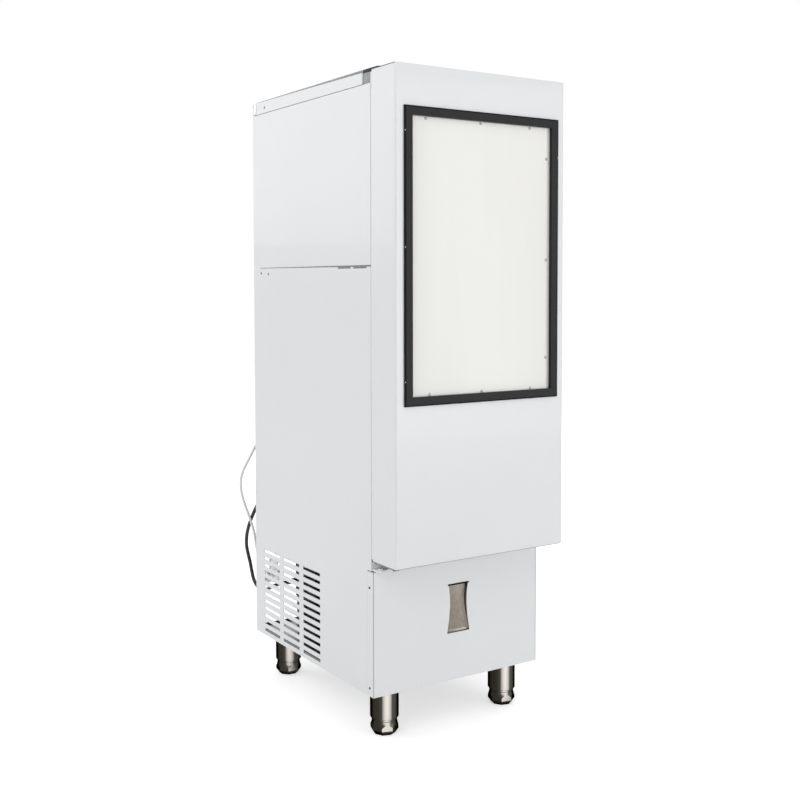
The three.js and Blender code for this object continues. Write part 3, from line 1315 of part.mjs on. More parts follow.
function lowerHingeBracket() {
  const low = DRAWER_TOP + HINGE.gap;
  const top = low + HINGE.plate;
  const legY = [BODY_FRONT - FIT - PLATE, BODY_FRONT - FIT];
  const leg = block([LEFT + FIT + STORE_GAP, LEFT + HINGE.inboard], legY, [low, DOOR_BOTTOM - HINGE.gap]);
  const boss = bar("z", HINGE.boss, [low, top + HINGE.bossHeight], PIVOT);
  const pin = bar("z", HINGE.pin, [low, DOOR_BOTTOM + HINGE.insert], PIVOT);
  return joined([hingeArm([low, top]), leg, boss, pin]);
}

function upperHingeBracket() {
  const arm = [TOP - PLATE, TOP];
  const seatZ = [TOP - FRAME.topLedge + FIT, TOP];
  const seatY = [BODY_FRONT, BODY_FRONT + FRAME.returnDepth];
  const seat = block([-PAN_SIDE, LEFT + LID.corner - FIT], seatY, seatZ);
  const neckX = [LEFT + FIT + STORE_GAP, LEFT + HINGE.inboard];
  const neck = block(neckX, [BODY_FRONT - FIT, BODY_FRONT + SHEET], arm);
  const pin = bar("z", HINGE.pin, [DOOR_TOP - HINGE.insert, TOP], PIVOT);
  return joined([hingeArm(arm), seat, neck, pin]);
}

// Mains lead: from the gland through the open rear, over the hook and down to the floor
const CORD = { radius: 4, sides: 8, steps: 76, floorGap: 0.2 };
const LEAD_POINTS = [
  [-116.6, 252, 205],
  [-125, 252, 205],
  [-140.5, 254.8, 204],
  [-153.7, 262.8, 200.5],
  [-161.5, 276.5, 194.5],
  [-164.5, 292, 187.5],
  [-165, 308, 179.5],
  [-165.5, 325, 173.5],
  [-167, 343, 171],
  [-168.8, 361, 175.8],
  [-170.8, 374, 189],
  [-173, 379, 207.5],
  [-177.5, 378, 229],
  [-184.5, 374, 251],
  [-191.5, 367, 274],
  [-195, 357.5, 299],
  [-194.5, 346, 325],
  [-191, 333.5, 350],
  [-187, 320.5, 372],
  [-183.5, 308.5, 390],
  [-178.5, 299, 403.8],
  [-170.4, 292.6, 413.6],
  [-159, 288.2, 420.1],
  [-146, 286.6, 422.3],
  [-133, 286.6, 420],
  [-121.6, 287.6, 413.4],
  [-112.5, 289.6, 402.5],
  [-103, 292.5, 382],
  [-90, 296.5, 347],
  [-70, 301.5, 293],
  [-48, 308, 236],
  [-28, 315, 170],
  [-17, 322, 107],
  [-13.6, 328, 65],
  [-13.6, 331.5, 42],
  [-13.6, 339.5, 25],
  [-13.6, 351.5, 15.6],
  [-13.6, 363.5, 12.85],
  [-13.6, 371.7, 12.8],
];

// The coil: two layers that spiral in and out again, and a straight tail that rises to the plug
const REEL = {
  x: 40, y: 372, inner: 36, pitch: 8.8, layer: 8.6, turnsIn: 2, turnsOut: 2.25, turnSteps: 24, sides: 6,
};
const TAIL = { run: 34, rise: 6, steps: 6 };

function reelPath() {
  const low = CORD.radius + CORD.floorGap;
  const points = [];
  const total = (REEL.turnsIn + REEL.turnsOut) * REEL.turnSteps;
  const start = new THREE.Vector3(REEL.x - REEL.inner - REEL.turnsIn * REEL.pitch, REEL.y, low + REEL.layer);
  points.push(start.clone());
  for (let i = 0; i <= total; i++) {
    const turn = i / REEL.turnSteps - REEL.turnsIn;
    const angle = Math.PI - 2 * Math.PI * (i / REEL.turnSteps);
    const radius = REEL.inner + REEL.pitch * Math.abs(turn);
    const climb = THREE.MathUtils.clamp(1 / 2 - 2 * turn, 0, 1);
    const x = REEL.x + radius * Math.cos(angle);
    const y = REEL.y + CORD.radius * 2 + radius * Math.sin(angle);
    points.push(new THREE.Vector3(x, y, low + climb * REEL.layer));
  }
  const end = points[points.length - 1];
  for (let i = 1; i <= TAIL.steps; i++) {
    const share = i / TAIL.steps;
    const lift = THREE.MathUtils.smoothstep(share, 1 / TAIL.steps, 1 - 1 / TAIL.steps);
    points.push(new THREE.Vector3(end.x + TAIL.run * share, end.y, end.z + TAIL.rise * lift));
  }
  return points;
}

// The least gap between turns, measured on the path more than half a turn apart along it
function leastReelGap(points) {
  let least = Infinity;
  const apart = REEL.turnSteps / 2;
  for (let i = 0; i < points.length; i++) {
    for (let j = i + apart; j < points.length; j++) {
      least = Math.min(least, points[i].distanceTo(points[j]));
    }
  }
  return least - 2 * CORD.radius;
}

function mainsLead() {
  return swept(LEAD_POINTS, CORD.radius, CORD.sides, CORD.steps);
}

function mainsCoil() {
  const points = reelPath();
  console.log("least gap between the turns of the coil: " + leastReelGap(points).toFixed(2) + " mm");
  return swept([], CORD.radius, REEL.sides, points.length - 1, new Route(points));
}

const PLUG = {
  neck: 5, neckLength: 16, half: 17, nose: 8, length: 40,
  height: 20, pin: 2.4, pinLength: 19, pinHalf: 9.5,
};

function mainsPlug() {
  const points = reelPath();
  const end = points[points.length - 1];
  const x = end.x + FIT;
  const body = outline([
    [x + PLUG.neckLength, end.y - PLUG.nose],
    [x + PLUG.neckLength + PLUG.nose, end.y - PLUG.half],
    [x + PLUG.neckLength + PLUG.length, end.y - PLUG.half],
    [x + PLUG.neckLength + PLUG.length, end.y + PLUG.half],
    [x + PLUG.neckLength + PLUG.nose, end.y + PLUG.half],
    [x + PLUG.neckLength, end.y + PLUG.nose],
  ]);
  const low = CORD.floorGap;
  const face = x + PLUG.neckLength + PLUG.length;
  const pinX = [face - SHEET, face + PLUG.pinLength];
  const pin = (y) => bar("x", PLUG.pin, pinX, [y, low + PLUG.height / 2], PIPE_SIDES);
  return joined([
    planPlate(body, [low, low + PLUG.height]),
    bar("x", PLUG.neck, [x, x + PLUG.neckLength + SHEET], [end.y, end.z]),
    pin(end.y - PLUG.pinHalf),
    pin(end.y + PLUG.pinHalf),
  ]);
}

// Water line: from the collar on the rear panel, out and down to the inlet valve's port
const HOSE = { radius: 3.175, sides: 8, steps: 56 };
const HOSE_POINTS = [
  [-176, 293.8, 528],
  [-176, 303, 528],
  [-177.5, 318.5, 523.8],
  [-182.5, 329.8, 512.5],
  [-190.5, 334, 496],
  [-201, 336, 476],
  [-212, 337.5, 455],
  [-218, 338, 433],
  [-218, 336, 408],
  [-213.5, 333, 385],
  [-206.5, 330, 362],
  [-199, 327.5, 338],
  [-192, 326.5, 314],
  [-187.5, 326.5, 290],
  [-184.5, 325.5, 268],
  [-181, 320.5, 246],
  [-176, 309, 228.5],
  [-172, 294, 222],
  [-172, 284.3, 222],
];

function waterTube() {
  return swept(HOSE_POINTS, HOSE.radius, HOSE.sides, HOSE.steps);
}

// Assembly: the standing cabinet first, then each assembly that moves on its own pivot
piece("base_pan", "galvanised", basePan());
piece("lower_left_panel", "white_enamel", lowerPanel(-1));
piece("lower_right_panel", "white_enamel", lowerPanel(1));
piece("upper_left_panel", "white_enamel", upperPanel(-1));
piece("upper_right_panel", "white_enamel", upperPanel(1));
piece("front_frame", "galvanised", frontFrame());
piece("lower_rear_panel", "galvanised", lowerRearPanel());
piece("upper_rear_panel", "galvanised", rearPanel([SEAM + SHEET, LID_BOTTOM - SHEET]));
piece("top_cover", "white_enamel", topCover());
piece("bin_insulation", "foam", binInsulation());
piece("bin_liner", "liner_plastic", liner(BIN));
piece("chamber_insulation", "foam", chamberInsulation());
piece("chamber_liner", "liner_plastic", chamberLiner());
piece("evaporator", "tinned", evaporator());
piece("water_trough", "liner_plastic", waterTrough());
piece("water_pump", "black_plastic", waterPump());
piece("spray_pipe", "clear_plastic", sprayPipe());
piece("control_fascia", "black_plastic", controlFascia());
piece("tap_body", "black_plastic", tapBody());
piece("drip_tray", "stainless", dripTray());
piece("compressor", "black_steel", compressor());
piece("condenser", "coil_black", condenser());
piece("fan_shroud", "galvanised", fanShroud());
piece("fan_motor", "black_steel", fanMotor());
piece("refrigerant_lines", "copper", refrigerantLines());
piece("discharge_pipe", "copper", dischargePipe());
piece("terminal_box", "black_plastic", terminalBox());
piece("cord_gland", "black_plastic", cordGland());
piece("inlet_valve", "clear_plastic", inletValve());
piece("left_runner", "galvanised", runner(-1));
piece("right_runner", "galvanised", runner(1));
piece("lower_hinge_bracket", "white_enamel", lowerHingeBracket());
piece("upper_hinge_bracket", "black_steel", upperHingeBracket());
piece("mains_lead", "black_rubber", mainsLead());
piece("mains_coil", "black_rubber", mainsCoil());
piece("mains_plug", "black_rubber", mainsPlug());
piece("water_tube", "hose_white", waterTube());

legPlaces().forEach(([corner, x, y], i) => {
  const standing = group([x, y, 0]);
  standing.add(placedMesh("leg_" + corner, "stainless", legTube()));
  const foot = placedMesh("foot_" + corner, "stainless", footBody());
  foot.rotation.z = THREE.MathUtils.degToRad(FOOT.turns[i]);
  standing.add(foot);
});

const door = group([...PIVOT, DOOR_BOTTOM]);
piece("door_shell", "white_enamel", doorShell(), door);
piece("door_core", "foam", doorCore(), door);
piece("door_liner", "liner_plastic", doorLiner(), door);
piece("door_gasket", "seal_rubber", doorGasket(), door);
piece("window_frame", "black_frame", windowFrame(), door);
piece("window_panel", "lit_panel", windowPanel(), door);
piece("light_board", "liner_plastic", lightBoard(), door);

const drawer = group([0, DRAWER.front, BODY_BOTTOM]);
piece("drawer_front", "white_enamel", drawerFront(), drawer);
piece("drawer_box", "galvanised", drawerBox(), drawer);
piece("drawer_pull", "stainless", drawerPull(), drawer);
piece("water_tub", "clear_plastic", waterTub(), drawer);

const fan = group([FAN_X, FAN_Y, FAN_Z]);
fan.add(placedMesh("fan_blade", "black_plastic", fanBlade()));

const curtain = group([0, CURTAIN.y, CURTAIN.z]);
piece("splash_curtain", "clear_plastic", splashCurtain(), curtain);

const lever = group([0, PADDLE_Y, PADDLE_Z]);
piece("tap_lever", "black_plastic", tapLever(), lever);

const rocker = group([ROCKER.x, BODY_FRONT + FIT + ROCKER.depth, ROCKER.z]);
rocker.add(placedMesh("rocker_switch", "black_rubber", rockerSwitch()));

export default cabinet;
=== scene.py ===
"""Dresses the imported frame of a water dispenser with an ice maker.

The cabinet stands on four legs, with a hinged door in front, a drawer under it
and an open machine bay behind. Lengths are in metres, X to the right, Y to the
back and Z up, as in the frame. Angles are in degrees unless said otherwise.
"""

import logging
import math
from dataclasses import dataclass
from enum import Enum

import bmesh
import bpy
from mathutils import Matrix, Vector

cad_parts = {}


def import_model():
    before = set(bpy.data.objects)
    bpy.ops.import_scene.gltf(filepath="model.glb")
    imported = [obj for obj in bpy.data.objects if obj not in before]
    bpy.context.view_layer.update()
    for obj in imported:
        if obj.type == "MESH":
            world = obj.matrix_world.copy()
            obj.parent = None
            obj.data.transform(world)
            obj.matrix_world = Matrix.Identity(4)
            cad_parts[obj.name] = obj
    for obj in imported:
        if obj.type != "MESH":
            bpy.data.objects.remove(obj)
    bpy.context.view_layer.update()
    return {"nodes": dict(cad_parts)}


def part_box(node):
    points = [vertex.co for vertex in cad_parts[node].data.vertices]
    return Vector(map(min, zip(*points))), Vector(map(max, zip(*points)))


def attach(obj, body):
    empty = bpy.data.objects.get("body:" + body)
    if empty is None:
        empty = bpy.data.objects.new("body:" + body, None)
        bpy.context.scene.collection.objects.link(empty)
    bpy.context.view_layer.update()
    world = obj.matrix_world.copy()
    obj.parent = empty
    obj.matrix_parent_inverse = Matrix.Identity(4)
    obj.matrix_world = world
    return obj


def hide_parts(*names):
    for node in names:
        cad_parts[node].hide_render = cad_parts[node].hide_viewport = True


LOG = logging.getLogger("water_dispenser")

Point = tuple[float, float, float]
Row = tuple[float, ...]
Pairs = tuple[tuple[float, float], ...]
Profile = list[tuple[float, float]]
Piece = bpy.types.Object
Socket = bpy.types.NodeSocket

ORIGIN: Point = (0.0, 0.0, 0.0)
UP: Point = (0.0, 0.0, 1.0)
DOWN: Point = (0.0, 0.0, -1.0)
FRONT: Point = (0.0, -1.0, 0.0)
BACK: Point = (0.0, 1.0, 0.0)
LEFT: Point = (-1.0, 0.0, 0.0)
SIDES = (("left", -1.0), ("right", 1.0))
WHITE = (1.0, 1.0, 1.0, 1.0)


# Finishes


class Grain(Enum):
    """The kinds of surface detail, painted highlights and painted reflections that a finish may
    have.
    """

    COAT = "coat"
    BRUSHED = "brushed"
    SPANGLE = "spangle"
    MOULDED = "moulded"
    STREAKED = "streaked"
    DRAWN = "drawn"


@dataclass(frozen=True)
class Finish:
    """One finish: its colours, its gloss and the detail on its surface.

    Grain size is the width of the fine detail and mottle size that of the slow
    change in tone. Shine is the strength of plain reflections, rim how bright
    they stay at a grazing angle, and clear the share of light let through.
    """

    slot: str
    tint: Point
    shade: Point
    rough: float
    rough_spread: float = 0.08
    metallic: float = 0.0
    grain: Grain = Grain.MOULDED
    grain_size: float = 0.002
    mottle_size: float = 0.12
    relief: float = 0.05
    stretch: Point = (1.0, 1.0, 1.0)
    coat: float = 0.0
    dust: float = 0.0
    clear: float = 0.0
    shine: float = 0.5
    rim: float = 1.0


@dataclass(frozen=True)
class PaintedHighlightBand:
    """A painted highlight: a bright band painted along a tube where it faces one heading.

    The heading is where the band faces, counted from X. It fades in from low to
    high, which are cosines of the angle away from that heading.
    """

    heading: float
    low: float
    high: float
    weight: float


class Graph:
    """A node tree, with short ways to add nodes and to feed them."""

    def __init__(self, tree: bpy.types.NodeTree) -> None:
        """Keeps the tree."""
        self.tree = tree

    def feed(self, node: bpy.types.Node, feeds: dict) -> None:
        """Links or sets some of a node's inputs.

        Args:
            node: the node.
            feeds: a socket or a plain value for each input, by name or place.
        """
        for key, value in feeds.items():
            if isinstance(value, Socket):
                self.tree.links.new(value, node.inputs[key])
            else:
                node.inputs[key].default_value = value

    def node(self, kind: str, feeds: dict | None = None, **settings) -> bpy.types.Node:
        """Adds a node.

        Args:
            kind: the node's type.
            feeds: a socket or a plain value for each input, by name or place.
            settings: the node's own settings.

        Returns:
            The new node.
        """
        made = self.tree.nodes.new(kind)
        for key, value in settings.items():
            setattr(made, key, value)
        self.feed(made, feeds or {})
        return made

    def calc(self, operation: str, first: Socket | float, second: Socket | float) -> Socket:
        """Adds a math node on two sockets or numbers and returns its result."""
        return self.node("ShaderNodeMath", {0: first, 1: second}, operation=operation).outputs[0]


class ShaderGroup(Graph):
    """A shader node group with named inputs and outputs, built once."""

    def __init__(self, name: str, inputs: list[tuple], outputs: list[tuple]) -> None:
        """Makes the group's tree and its sockets.

        Args:
            name: the group's name.
            inputs: a label, a socket type and a value for each input.
            outputs: a label and a socket type for each output.
        """
        super().__init__(bpy.data.node_groups.new(name, "ShaderNodeTree"))
        sockets = self.tree.interface
        for label, kind, value in inputs:
            made = sockets.new_socket(name=label, in_out="INPUT", socket_type=kind)
            made.default_value = value
        for label, kind in outputs:
            sockets.new_socket(name=label, in_out="OUTPUT", socket_type=kind)
        entry = self.node("NodeGroupInput")
        self.exit = self.node("NodeGroupOutput")
        self.given = {socket.name: socket for socket in entry.outputs if socket.name}

    def sized(self, vector: Socket, label: str) -> Socket:
        """Scales a vector, so that a pattern has the size that an input gives."""
        feeds = {0: vector, "Scale": self.calc("DIVIDE", 1.0, self.given[label])}
        return self.node("ShaderNodeVectorMath", feeds, operation="SCALE").outputs[0]

    def noise(self, vector: Socket, detail: float, scale: float = 1.0) -> Socket:
        """Adds a noise texture on a vector and returns its value."""
        feeds = {"Vector": vector, "Scale": scale, "Detail": detail}
        return self.node("ShaderNodeTexNoise", feeds).outputs["Fac"]

    def spots(self, label: str, detail: float) -> Socket:
        """Adds noise of the size that an input gives and returns its value."""
        return self.noise(self.sized(self.given["Vector"], label), detail)

    def ramp(self, value: Socket, low: float, high: float) -> Socket:
        """Spreads the band from low to high of a value over 0 to 1."""
        feeds = {"Value": value, "From Min": low, "From Max": high}
        return self.node("ShaderNodeMapRange", feeds, clamp=True).outputs["Result"]

    def blend(self, first: Socket, second: Socket, share: float) -> Socket:
        """Adds two values, the first by a share and the second by the rest."""
        rest = self.calc("MULTIPLY", second, 1.0 - share)
        return self.calc("ADD", self.calc("MULTIPLY", first, share), rest)

    def mix(self, factor: Socket, first: Socket, second: Socket) -> Socket:
        """Mixes two colours by a factor and returns the result."""
        feeds = {"Factor": factor, "A": first, "B": second}
        return self.node("ShaderNodeMix", feeds, data_type="RGBA").outputs["Result"]


class GrainGroup(ShaderGroup):
    """The start of a kind of surface detail, with the sockets that all share."""

    INPUTS = [
        ("Vector", "NodeSocketVector", ORIGIN),
        ("Tint", "NodeSocketColor", (0.8, 0.8, 0.8, 1.0)),
        ("Shade", "NodeSocketColor", (0.6, 0.6, 0.6, 1.0)),
        ("Grain Size", "NodeSocketFloat", 0.002),
        ("Mottle Size", "NodeSocketFloat", 0.12),
        ("Rough", "NodeSocketFloat", 0.4),
        ("Rough Spread", "NodeSocketFloat", 0.08),
    ]
    OUTPUTS = [
        ("Color", "NodeSocketColor"),
        ("Roughness", "NodeSocketFloat"),
        ("Height", "NodeSocketFloat"),
    ]

    def __init__(self, name: str) -> None:
        """Makes the group's tree and its sockets."""
        super().__init__(name, self.INPUTS, self.OUTPUTS)

    def close(self, tone: Socket, gloss: Socket, height: Socket) -> ShaderGroup:
        """Feeds the group's outputs.

        Args:
            tone: a mask between the shade and the tint.
            gloss: a mask that moves the roughness.
            height: the fine relief.

        Returns:
            The group.
        """
        given = self.given
        moved = self.calc("MULTIPLY", self.calc("SUBTRACT", gloss, 0.5), given["Rough Spread"])
        colour = self.mix(tone, given["Shade"], given["Tint"])
        rough = self.calc("ADD", given["Rough"], moved)
        self.feed(self.exit, {"Color": colour, "Roughness": rough, "Height": height})
        return self


class GrainGroups:
    """The shared node groups, one for each kind of surface detail."""

    # Slant and stretch of the streaks of painted reflection on the lit panel.
    STREAK_SLANT = 38.0
    STREAK_STRETCH: Point = (1.0, 1.0, 0.16)
    # Painted highlights on the legs and feet: each band paints a bright stripe where the surface
    # faces its heading.
    BANDS = (
        PaintedHighlightBand(-111.0, 0.93, 1.0, 1.0),
        PaintedHighlightBand(-101.0, 0.7, 0.98, 0.07),
        PaintedHighlightBand(66.0, 0.925, 0.99, 0.9),
        PaintedHighlightBand(92.0, 0.65, 1.0, 0.2),
        PaintedHighlightBand(118.0, 0.93, 0.99, 0.4),
        PaintedHighlightBand(10.0, 0.92, 0.99, 0.5),
    )

    def __init__(self) -> None:
        """Builds every group once."""
        self.groups = {
            Grain.COAT: self.coat(),
            Grain.BRUSHED: self.mixed("Brushed grain", detail=5.0, share=0.6, low=0.34),
            Grain.SPANGLE: self.spangle(),
            Grain.MOULDED: self.mixed("Moulded texture", detail=6.0, share=0.35, low=0.32),
            Grain.STREAKED: self.streaked(),
            Grain.DRAWN: self.drawn(),
        }
        self.dust = self.settled_dust()

    def coat(self) -> ShaderGroup:
        """Builds a sprayed enamel: fine orange peel and a slow change in tone.

        Returns:
            The group.
        """
        group = GrainGroup("Sprayed coat")
        fine = group.spots("Grain Size", detail=2.0)
        slow = group.spots("Mottle Size", detail=4.0)
        return group.close(group.ramp(slow, low=0.3, high=0.62), slow, fine)

    def mixed(self, name: str, detail: float, share: float, low: float) -> ShaderGroup:
        """Builds a fine grain over a slow change in tone.

        It serves for brushed metal, whose fine lines follow the finish's stretch,
        and for moulded plastic, rubber or foam. What is the stronger of the two
        in the tone also moves the gloss.

        Args:
            name: the group's name.
            detail: the detail of the fine grain.
            share: the share of the fine grain in the tone.
            low: where the tone starts to rise; it ends as far from the top.

        Returns:
            The group.
        """
        group = GrainGroup(name)
        fine = group.spots("Grain Size", detail)
        slow = group.spots("Mottle Size", detail=3.0)
        tone = group.ramp(group.blend(fine, slow, share), low, 1.0 - low)
        return group.close(tone, fine if share > 0.5 else slow, fine)

    def spangle(self) -> ShaderGroup:
        """Builds a zinc coat: crystals that each have their own tone and gloss.

        Returns:
            The group.
        """
        group = GrainGroup("Zinc spangle")
        vector = group.sized(group.given["Vector"], "Grain Size")
        feeds = {"Vector": vector, "Scale": 1.0, "Randomness": 1.0}
        cells = group.node("ShaderNodeTexVoronoi", feeds)
        apart = group.node("ShaderNodeSeparateColor", {0: cells.outputs["Color"]})
        slow = group.spots("Mottle Size", detail=3.0)
        tone = group.blend(apart.outputs[0], slow, share=0.7)
        return group.close(tone, apart.outputs[1], cells.outputs["Distance"])

    def streaked(self) -> ShaderGroup:
        """Builds a glossy sheet with faint slanted streaks of painted reflection in its colour.

        Returns:
            The group.
        """
        group = GrainGroup("Slanted painted reflections")
        slant = (0.0, math.radians(self.STREAK_SLANT), 0.0)
        feeds = {"Vector": group.given["Vector"], "Rotation": slant, "Scale": self.STREAK_STRETCH}
        turned = group.node("ShaderNodeMapping", feeds)
        slow = group.noise(group.sized(turned.outputs[0], "Mottle Size"), detail=4.0)
        fine = group.spots("Grain Size", detail=2.0)
        # The slow slanted tone paints reflections into the colour.
        return group.close(group.ramp(slow, low=0.36, high=0.6), fine, fine)

    def drawn(self) -> ShaderGroup:
        """Builds a drawn tube's colour: painted highlights along it between painted dark
        reflections.

        Returns:
            The group.
        """
        group = GrainGroup("Drawn tube painted highlights")
        normal = group.node("ShaderNodeNewGeometry").outputs["Normal"]
        tone = 0.0
        # Each band paints a highlight where the surface faces its heading; the shade colour
        # between them paints dark reflections.
        for band in self.BANDS:
            heading = math.radians(band.heading)
            feeds = {0: normal, 1: (math.cos(heading), math.sin(heading), 0.0)}
            facing = group.node("ShaderNodeVectorMath", feeds, operation="DOT_PRODUCT")
            lit = group.ramp(facing.outputs["Value"], band.low, band.high)
            tone = group.calc("MAXIMUM", tone, group.calc("MULTIPLY", lit, band.weight))
        fine = group.spots("Grain Size", detail=4.0)
        highlight_grain = group.calc("ADD", 0.8, group.calc("MULTIPLY", fine, 0.3))
        return group.close(group.calc("MULTIPLY", tone, highlight_grain), fine, fine)

    def settled_dust(self) -> ShaderGroup:
        """Builds dust that lies in patches on upward faces.

        Returns:
            The group.
        """
        inputs = [
            ("Vector", "NodeSocketVector", ORIGIN),
            ("Color", "NodeSocketColor", (0.5, 0.5, 0.5, 1.0)),
            ("Dust", "NodeSocketColor", (0.42, 0.4, 0.37, 1.0)),
            ("Amount", "NodeSocketFloat", 0.0),
        ]
        group = ShaderGroup("Settled dust", inputs, [("Color", "NodeSocketColor")])
        given = group.given
        normal = group.node("ShaderNodeNewGeometry").outputs["Normal"]
        height = group.node("ShaderNodeSeparateXYZ", {0: normal}).outputs["Z"]
        grit = group.noise(given["Vector"], detail=5.0, scale=60.0)
        patch = group.ramp(grit, low=0.38, high=0.7)
        there = group.calc("MULTIPLY", patch, group.ramp(height, low=0.2, high=1.0))
        mask = group.calc("MULTIPLY", there, given["Amount"])
        group.feed(group.exit, {"Color": group.mix(mask, given["Color"], given["Dust"])})
        return group


class Paintbox:
    """Makes each finish's material once and puts it on meshes.

    A finish whose name ends in _tube or _matt is a variant of the record's slot
    of the plain name. The _tube variant paints highlights and dark reflections.
    """

    def __init__(self, finishes: list[Finish]) -> None:
        """Builds the shared groups and the material of every finish."""
        self.grains = GrainGroups()
        self.made = {finish.slot: self.material(finish) for finish in finishes}

    def material(self, finish: Finish) -> bpy.types.Material:
        """Builds a finish's material.

        Args:
            finish: the finish.

        Returns:
            Its material.
        """
        made = bpy.data.materials.new(finish.slot)
        made.use_nodes = True
        graph = Graph(made.node_tree)
        place = graph.node("ShaderNodeTexCoord").outputs["Object"]
        stretched = graph.node("ShaderNodeMapping", {"Vector": place, "Scale": finish.stretch})
        feeds = {
            "Vector": stretched.outputs[0],
            "Tint": (*finish.tint, 1.0),
            "Shade": (*finish.shade, 1.0),
            "Grain Size": finish.grain_size,
            "Mottle Size": finish.mottle_size,
            "Rough": finish.rough,
            "Rough Spread": finish.rough_spread,
        }
        group = self.grains.groups[finish.grain]
        grain = graph.node("ShaderNodeGroup", feeds, node_tree=group.tree)
        colour = grain.outputs["Color"]
        if finish.dust:
            feeds = {"Vector": place, "Color": colour, "Amount": finish.dust}
            dust = graph.node("ShaderNodeGroup", feeds, node_tree=self.grains.dust.tree)
            colour = dust.outputs["Color"]
        feeds = {
            "Height": grain.outputs["Height"],
            "Strength": finish.relief,
            "Distance": finish.grain_size,
        }
        bump = graph.node("ShaderNodeBump", feeds)
        feeds = {
            "Base Color": colour,
            "Roughness": grain.outputs["Roughness"],
            "Normal": bump.outputs["Normal"],
            "Metallic": finish.metallic,
            "Specular IOR Level": finish.shine,
            "Specular Tint": (finish.rim, finish.rim, finish.rim, 1.0),
            "Coat Weight": finish.coat,
            "Transmission Weight": finish.clear,
        }
        graph.feed(graph.tree.nodes["Principled BSDF"], feeds)
        return made

    def paint(self, piece: Piece, slot: str) -> None:
        """Gives a new piece one finish and the record's slot that it belongs to.

        Args:
            piece: the piece.
            slot: the finish's name.
        """
        piece.data.materials.clear()
        piece.data.materials.append(self.made[slot])

    def repaint(self, nodes: dict[str, Piece]) -> None:
        """Gives each CAD node the full material of its own slot, legs and feet its _tube variant
        with painted highlights.

        Args:
            nodes: the frame's nodes.
        """
        for node in nodes.values():
            # Legs and feet take the _tube variant, with painted highlights and painted dark
            # reflections.
            variant = "_tube" if node.name.startswith(("leg_", "foot_")) else ""
            for slot in node.material_slots:
                slot.material = self.made[slot.material.name.split(".")[0] + variant]


ALONG_Z: Point = (1.0, 1.0, 0.03)
FINISHES = [
    Finish("white_enamel", (0.815, 0.83, 0.84), (0.79, 0.805, 0.82), 0.3, 0.06,
           grain=Grain.COAT, grain_size=0.0016, mottle_size=0.35, relief=0.035, coat=0.25),
    Finish("galvanised", (0.238, 0.243, 0.249), (0.168, 0.172, 0.178), 0.4, 0.14, 0.9,
           Grain.SPANGLE, 0.0055, 0.09, 0.02, dust=0.12),
    Finish("stainless", (0.25, 0.22, 0.19), (0.14, 0.122, 0.105), 0.27, 0.12, 1.0,
           Grain.BRUSHED, 0.0007, 0.05, 0.05, ALONG_Z),
    # Tint is the colour of the painted highlights and shade that of the painted dark reflections
    # between them.
    Finish("stainless_tube", (0.74, 0.7, 0.65), (0.031, 0.0285, 0.0225), 0.2, 0.08, 1.0,
           Grain.DRAWN, 0.0008, 0.03, 0.03, ALONG_Z, rim=0.12),
    Finish("black_frame", (0.019, 0.019, 0.021), (0.009, 0.009, 0.0105), 0.44, 0.16,
           grain_size=0.0011, mottle_size=0.06, relief=0.12, shine=0.19),
    # Its slanted streaks are painted reflections.
    Finish("lit_panel", (0.8, 0.795, 0.765), (0.73, 0.725, 0.7), 0.14, 0.06,
           grain=Grain.STREAKED, grain_size=0.004, mottle_size=0.22, relief=0.01, coat=0.5),
    Finish("liner_plastic", (0.8, 0.815, 0.82), (0.72, 0.735, 0.74), 0.36, 0.12,
           grain_size=0.0014, mottle_size=0.15, relief=0.05),
    Finish("foam", (0.68, 0.56, 0.3), (0.5, 0.38, 0.17), 0.85, 0.1,
           grain_size=0.0024, mottle_size=0.03, relief=0.6),
    Finish("seal_rubber", (0.92, 0.92, 0.91), (0.85, 0.85, 0.84), 0.55, 0.12,
           grain_size=0.001, mottle_size=0.05, relief=0.08),
    Finish("black_rubber", (0.026, 0.026, 0.028), (0.012, 0.012, 0.013), 0.52, 0.18,
           grain_size=0.0009, mottle_size=0.04, relief=0.1),
    Finish("black_plastic", (0.034, 0.034, 0.036), (0.018, 0.018, 0.019), 0.4, 0.16,
           grain_size=0.0008, mottle_size=0.05, relief=0.12),
    Finish("black_steel", (0.03, 0.03, 0.032), (0.012, 0.012, 0.014), 0.33, 0.14,
           grain=Grain.COAT, grain_size=0.0022, mottle_size=0.05, relief=0.1, shine=0.1),
    Finish("black_rubber_matt", (0.012, 0.012, 0.013), (0.007, 0.007, 0.008), 0.6, 0.1,
           grain_size=0.001, mottle_size=0.05, relief=0.08, shine=0.06),
    Finish("copper", (0.74, 0.36, 0.21), (0.36, 0.15, 0.08), 0.28, 0.26, 1.0,
           grain_size=0.0012, mottle_size=0.018, relief=0.05),
    Finish("tinned", (0.66, 0.68, 0.69), (0.46, 0.48, 0.5), 0.3, 0.2, 1.0,
           grain_size=0.0016, mottle_size=0.03, relief=0.05),
    Finish("coil_black", (0.05, 0.052, 0.056), (0.02, 0.021, 0.024), 0.46, 0.16, 0.35,
           Grain.BRUSHED, 0.0009, 0.04, 0.06, ALONG_Z, dust=0.6),
    Finish("clear_plastic", (0.86, 0.9, 0.91), (0.8, 0.85, 0.86), 0.12, 0.08,
           grain=Grain.COAT, grain_size=0.003, mottle_size=0.1, relief=0.03, clear=0.75),
    Finish("hose_white", (0.84, 0.85, 0.84), (0.76, 0.77, 0.755), 0.34, 0.1,
           grain_size=0.0012, mottle_size=0.05, relief=0.03, coat=0.2),
]


# Studio


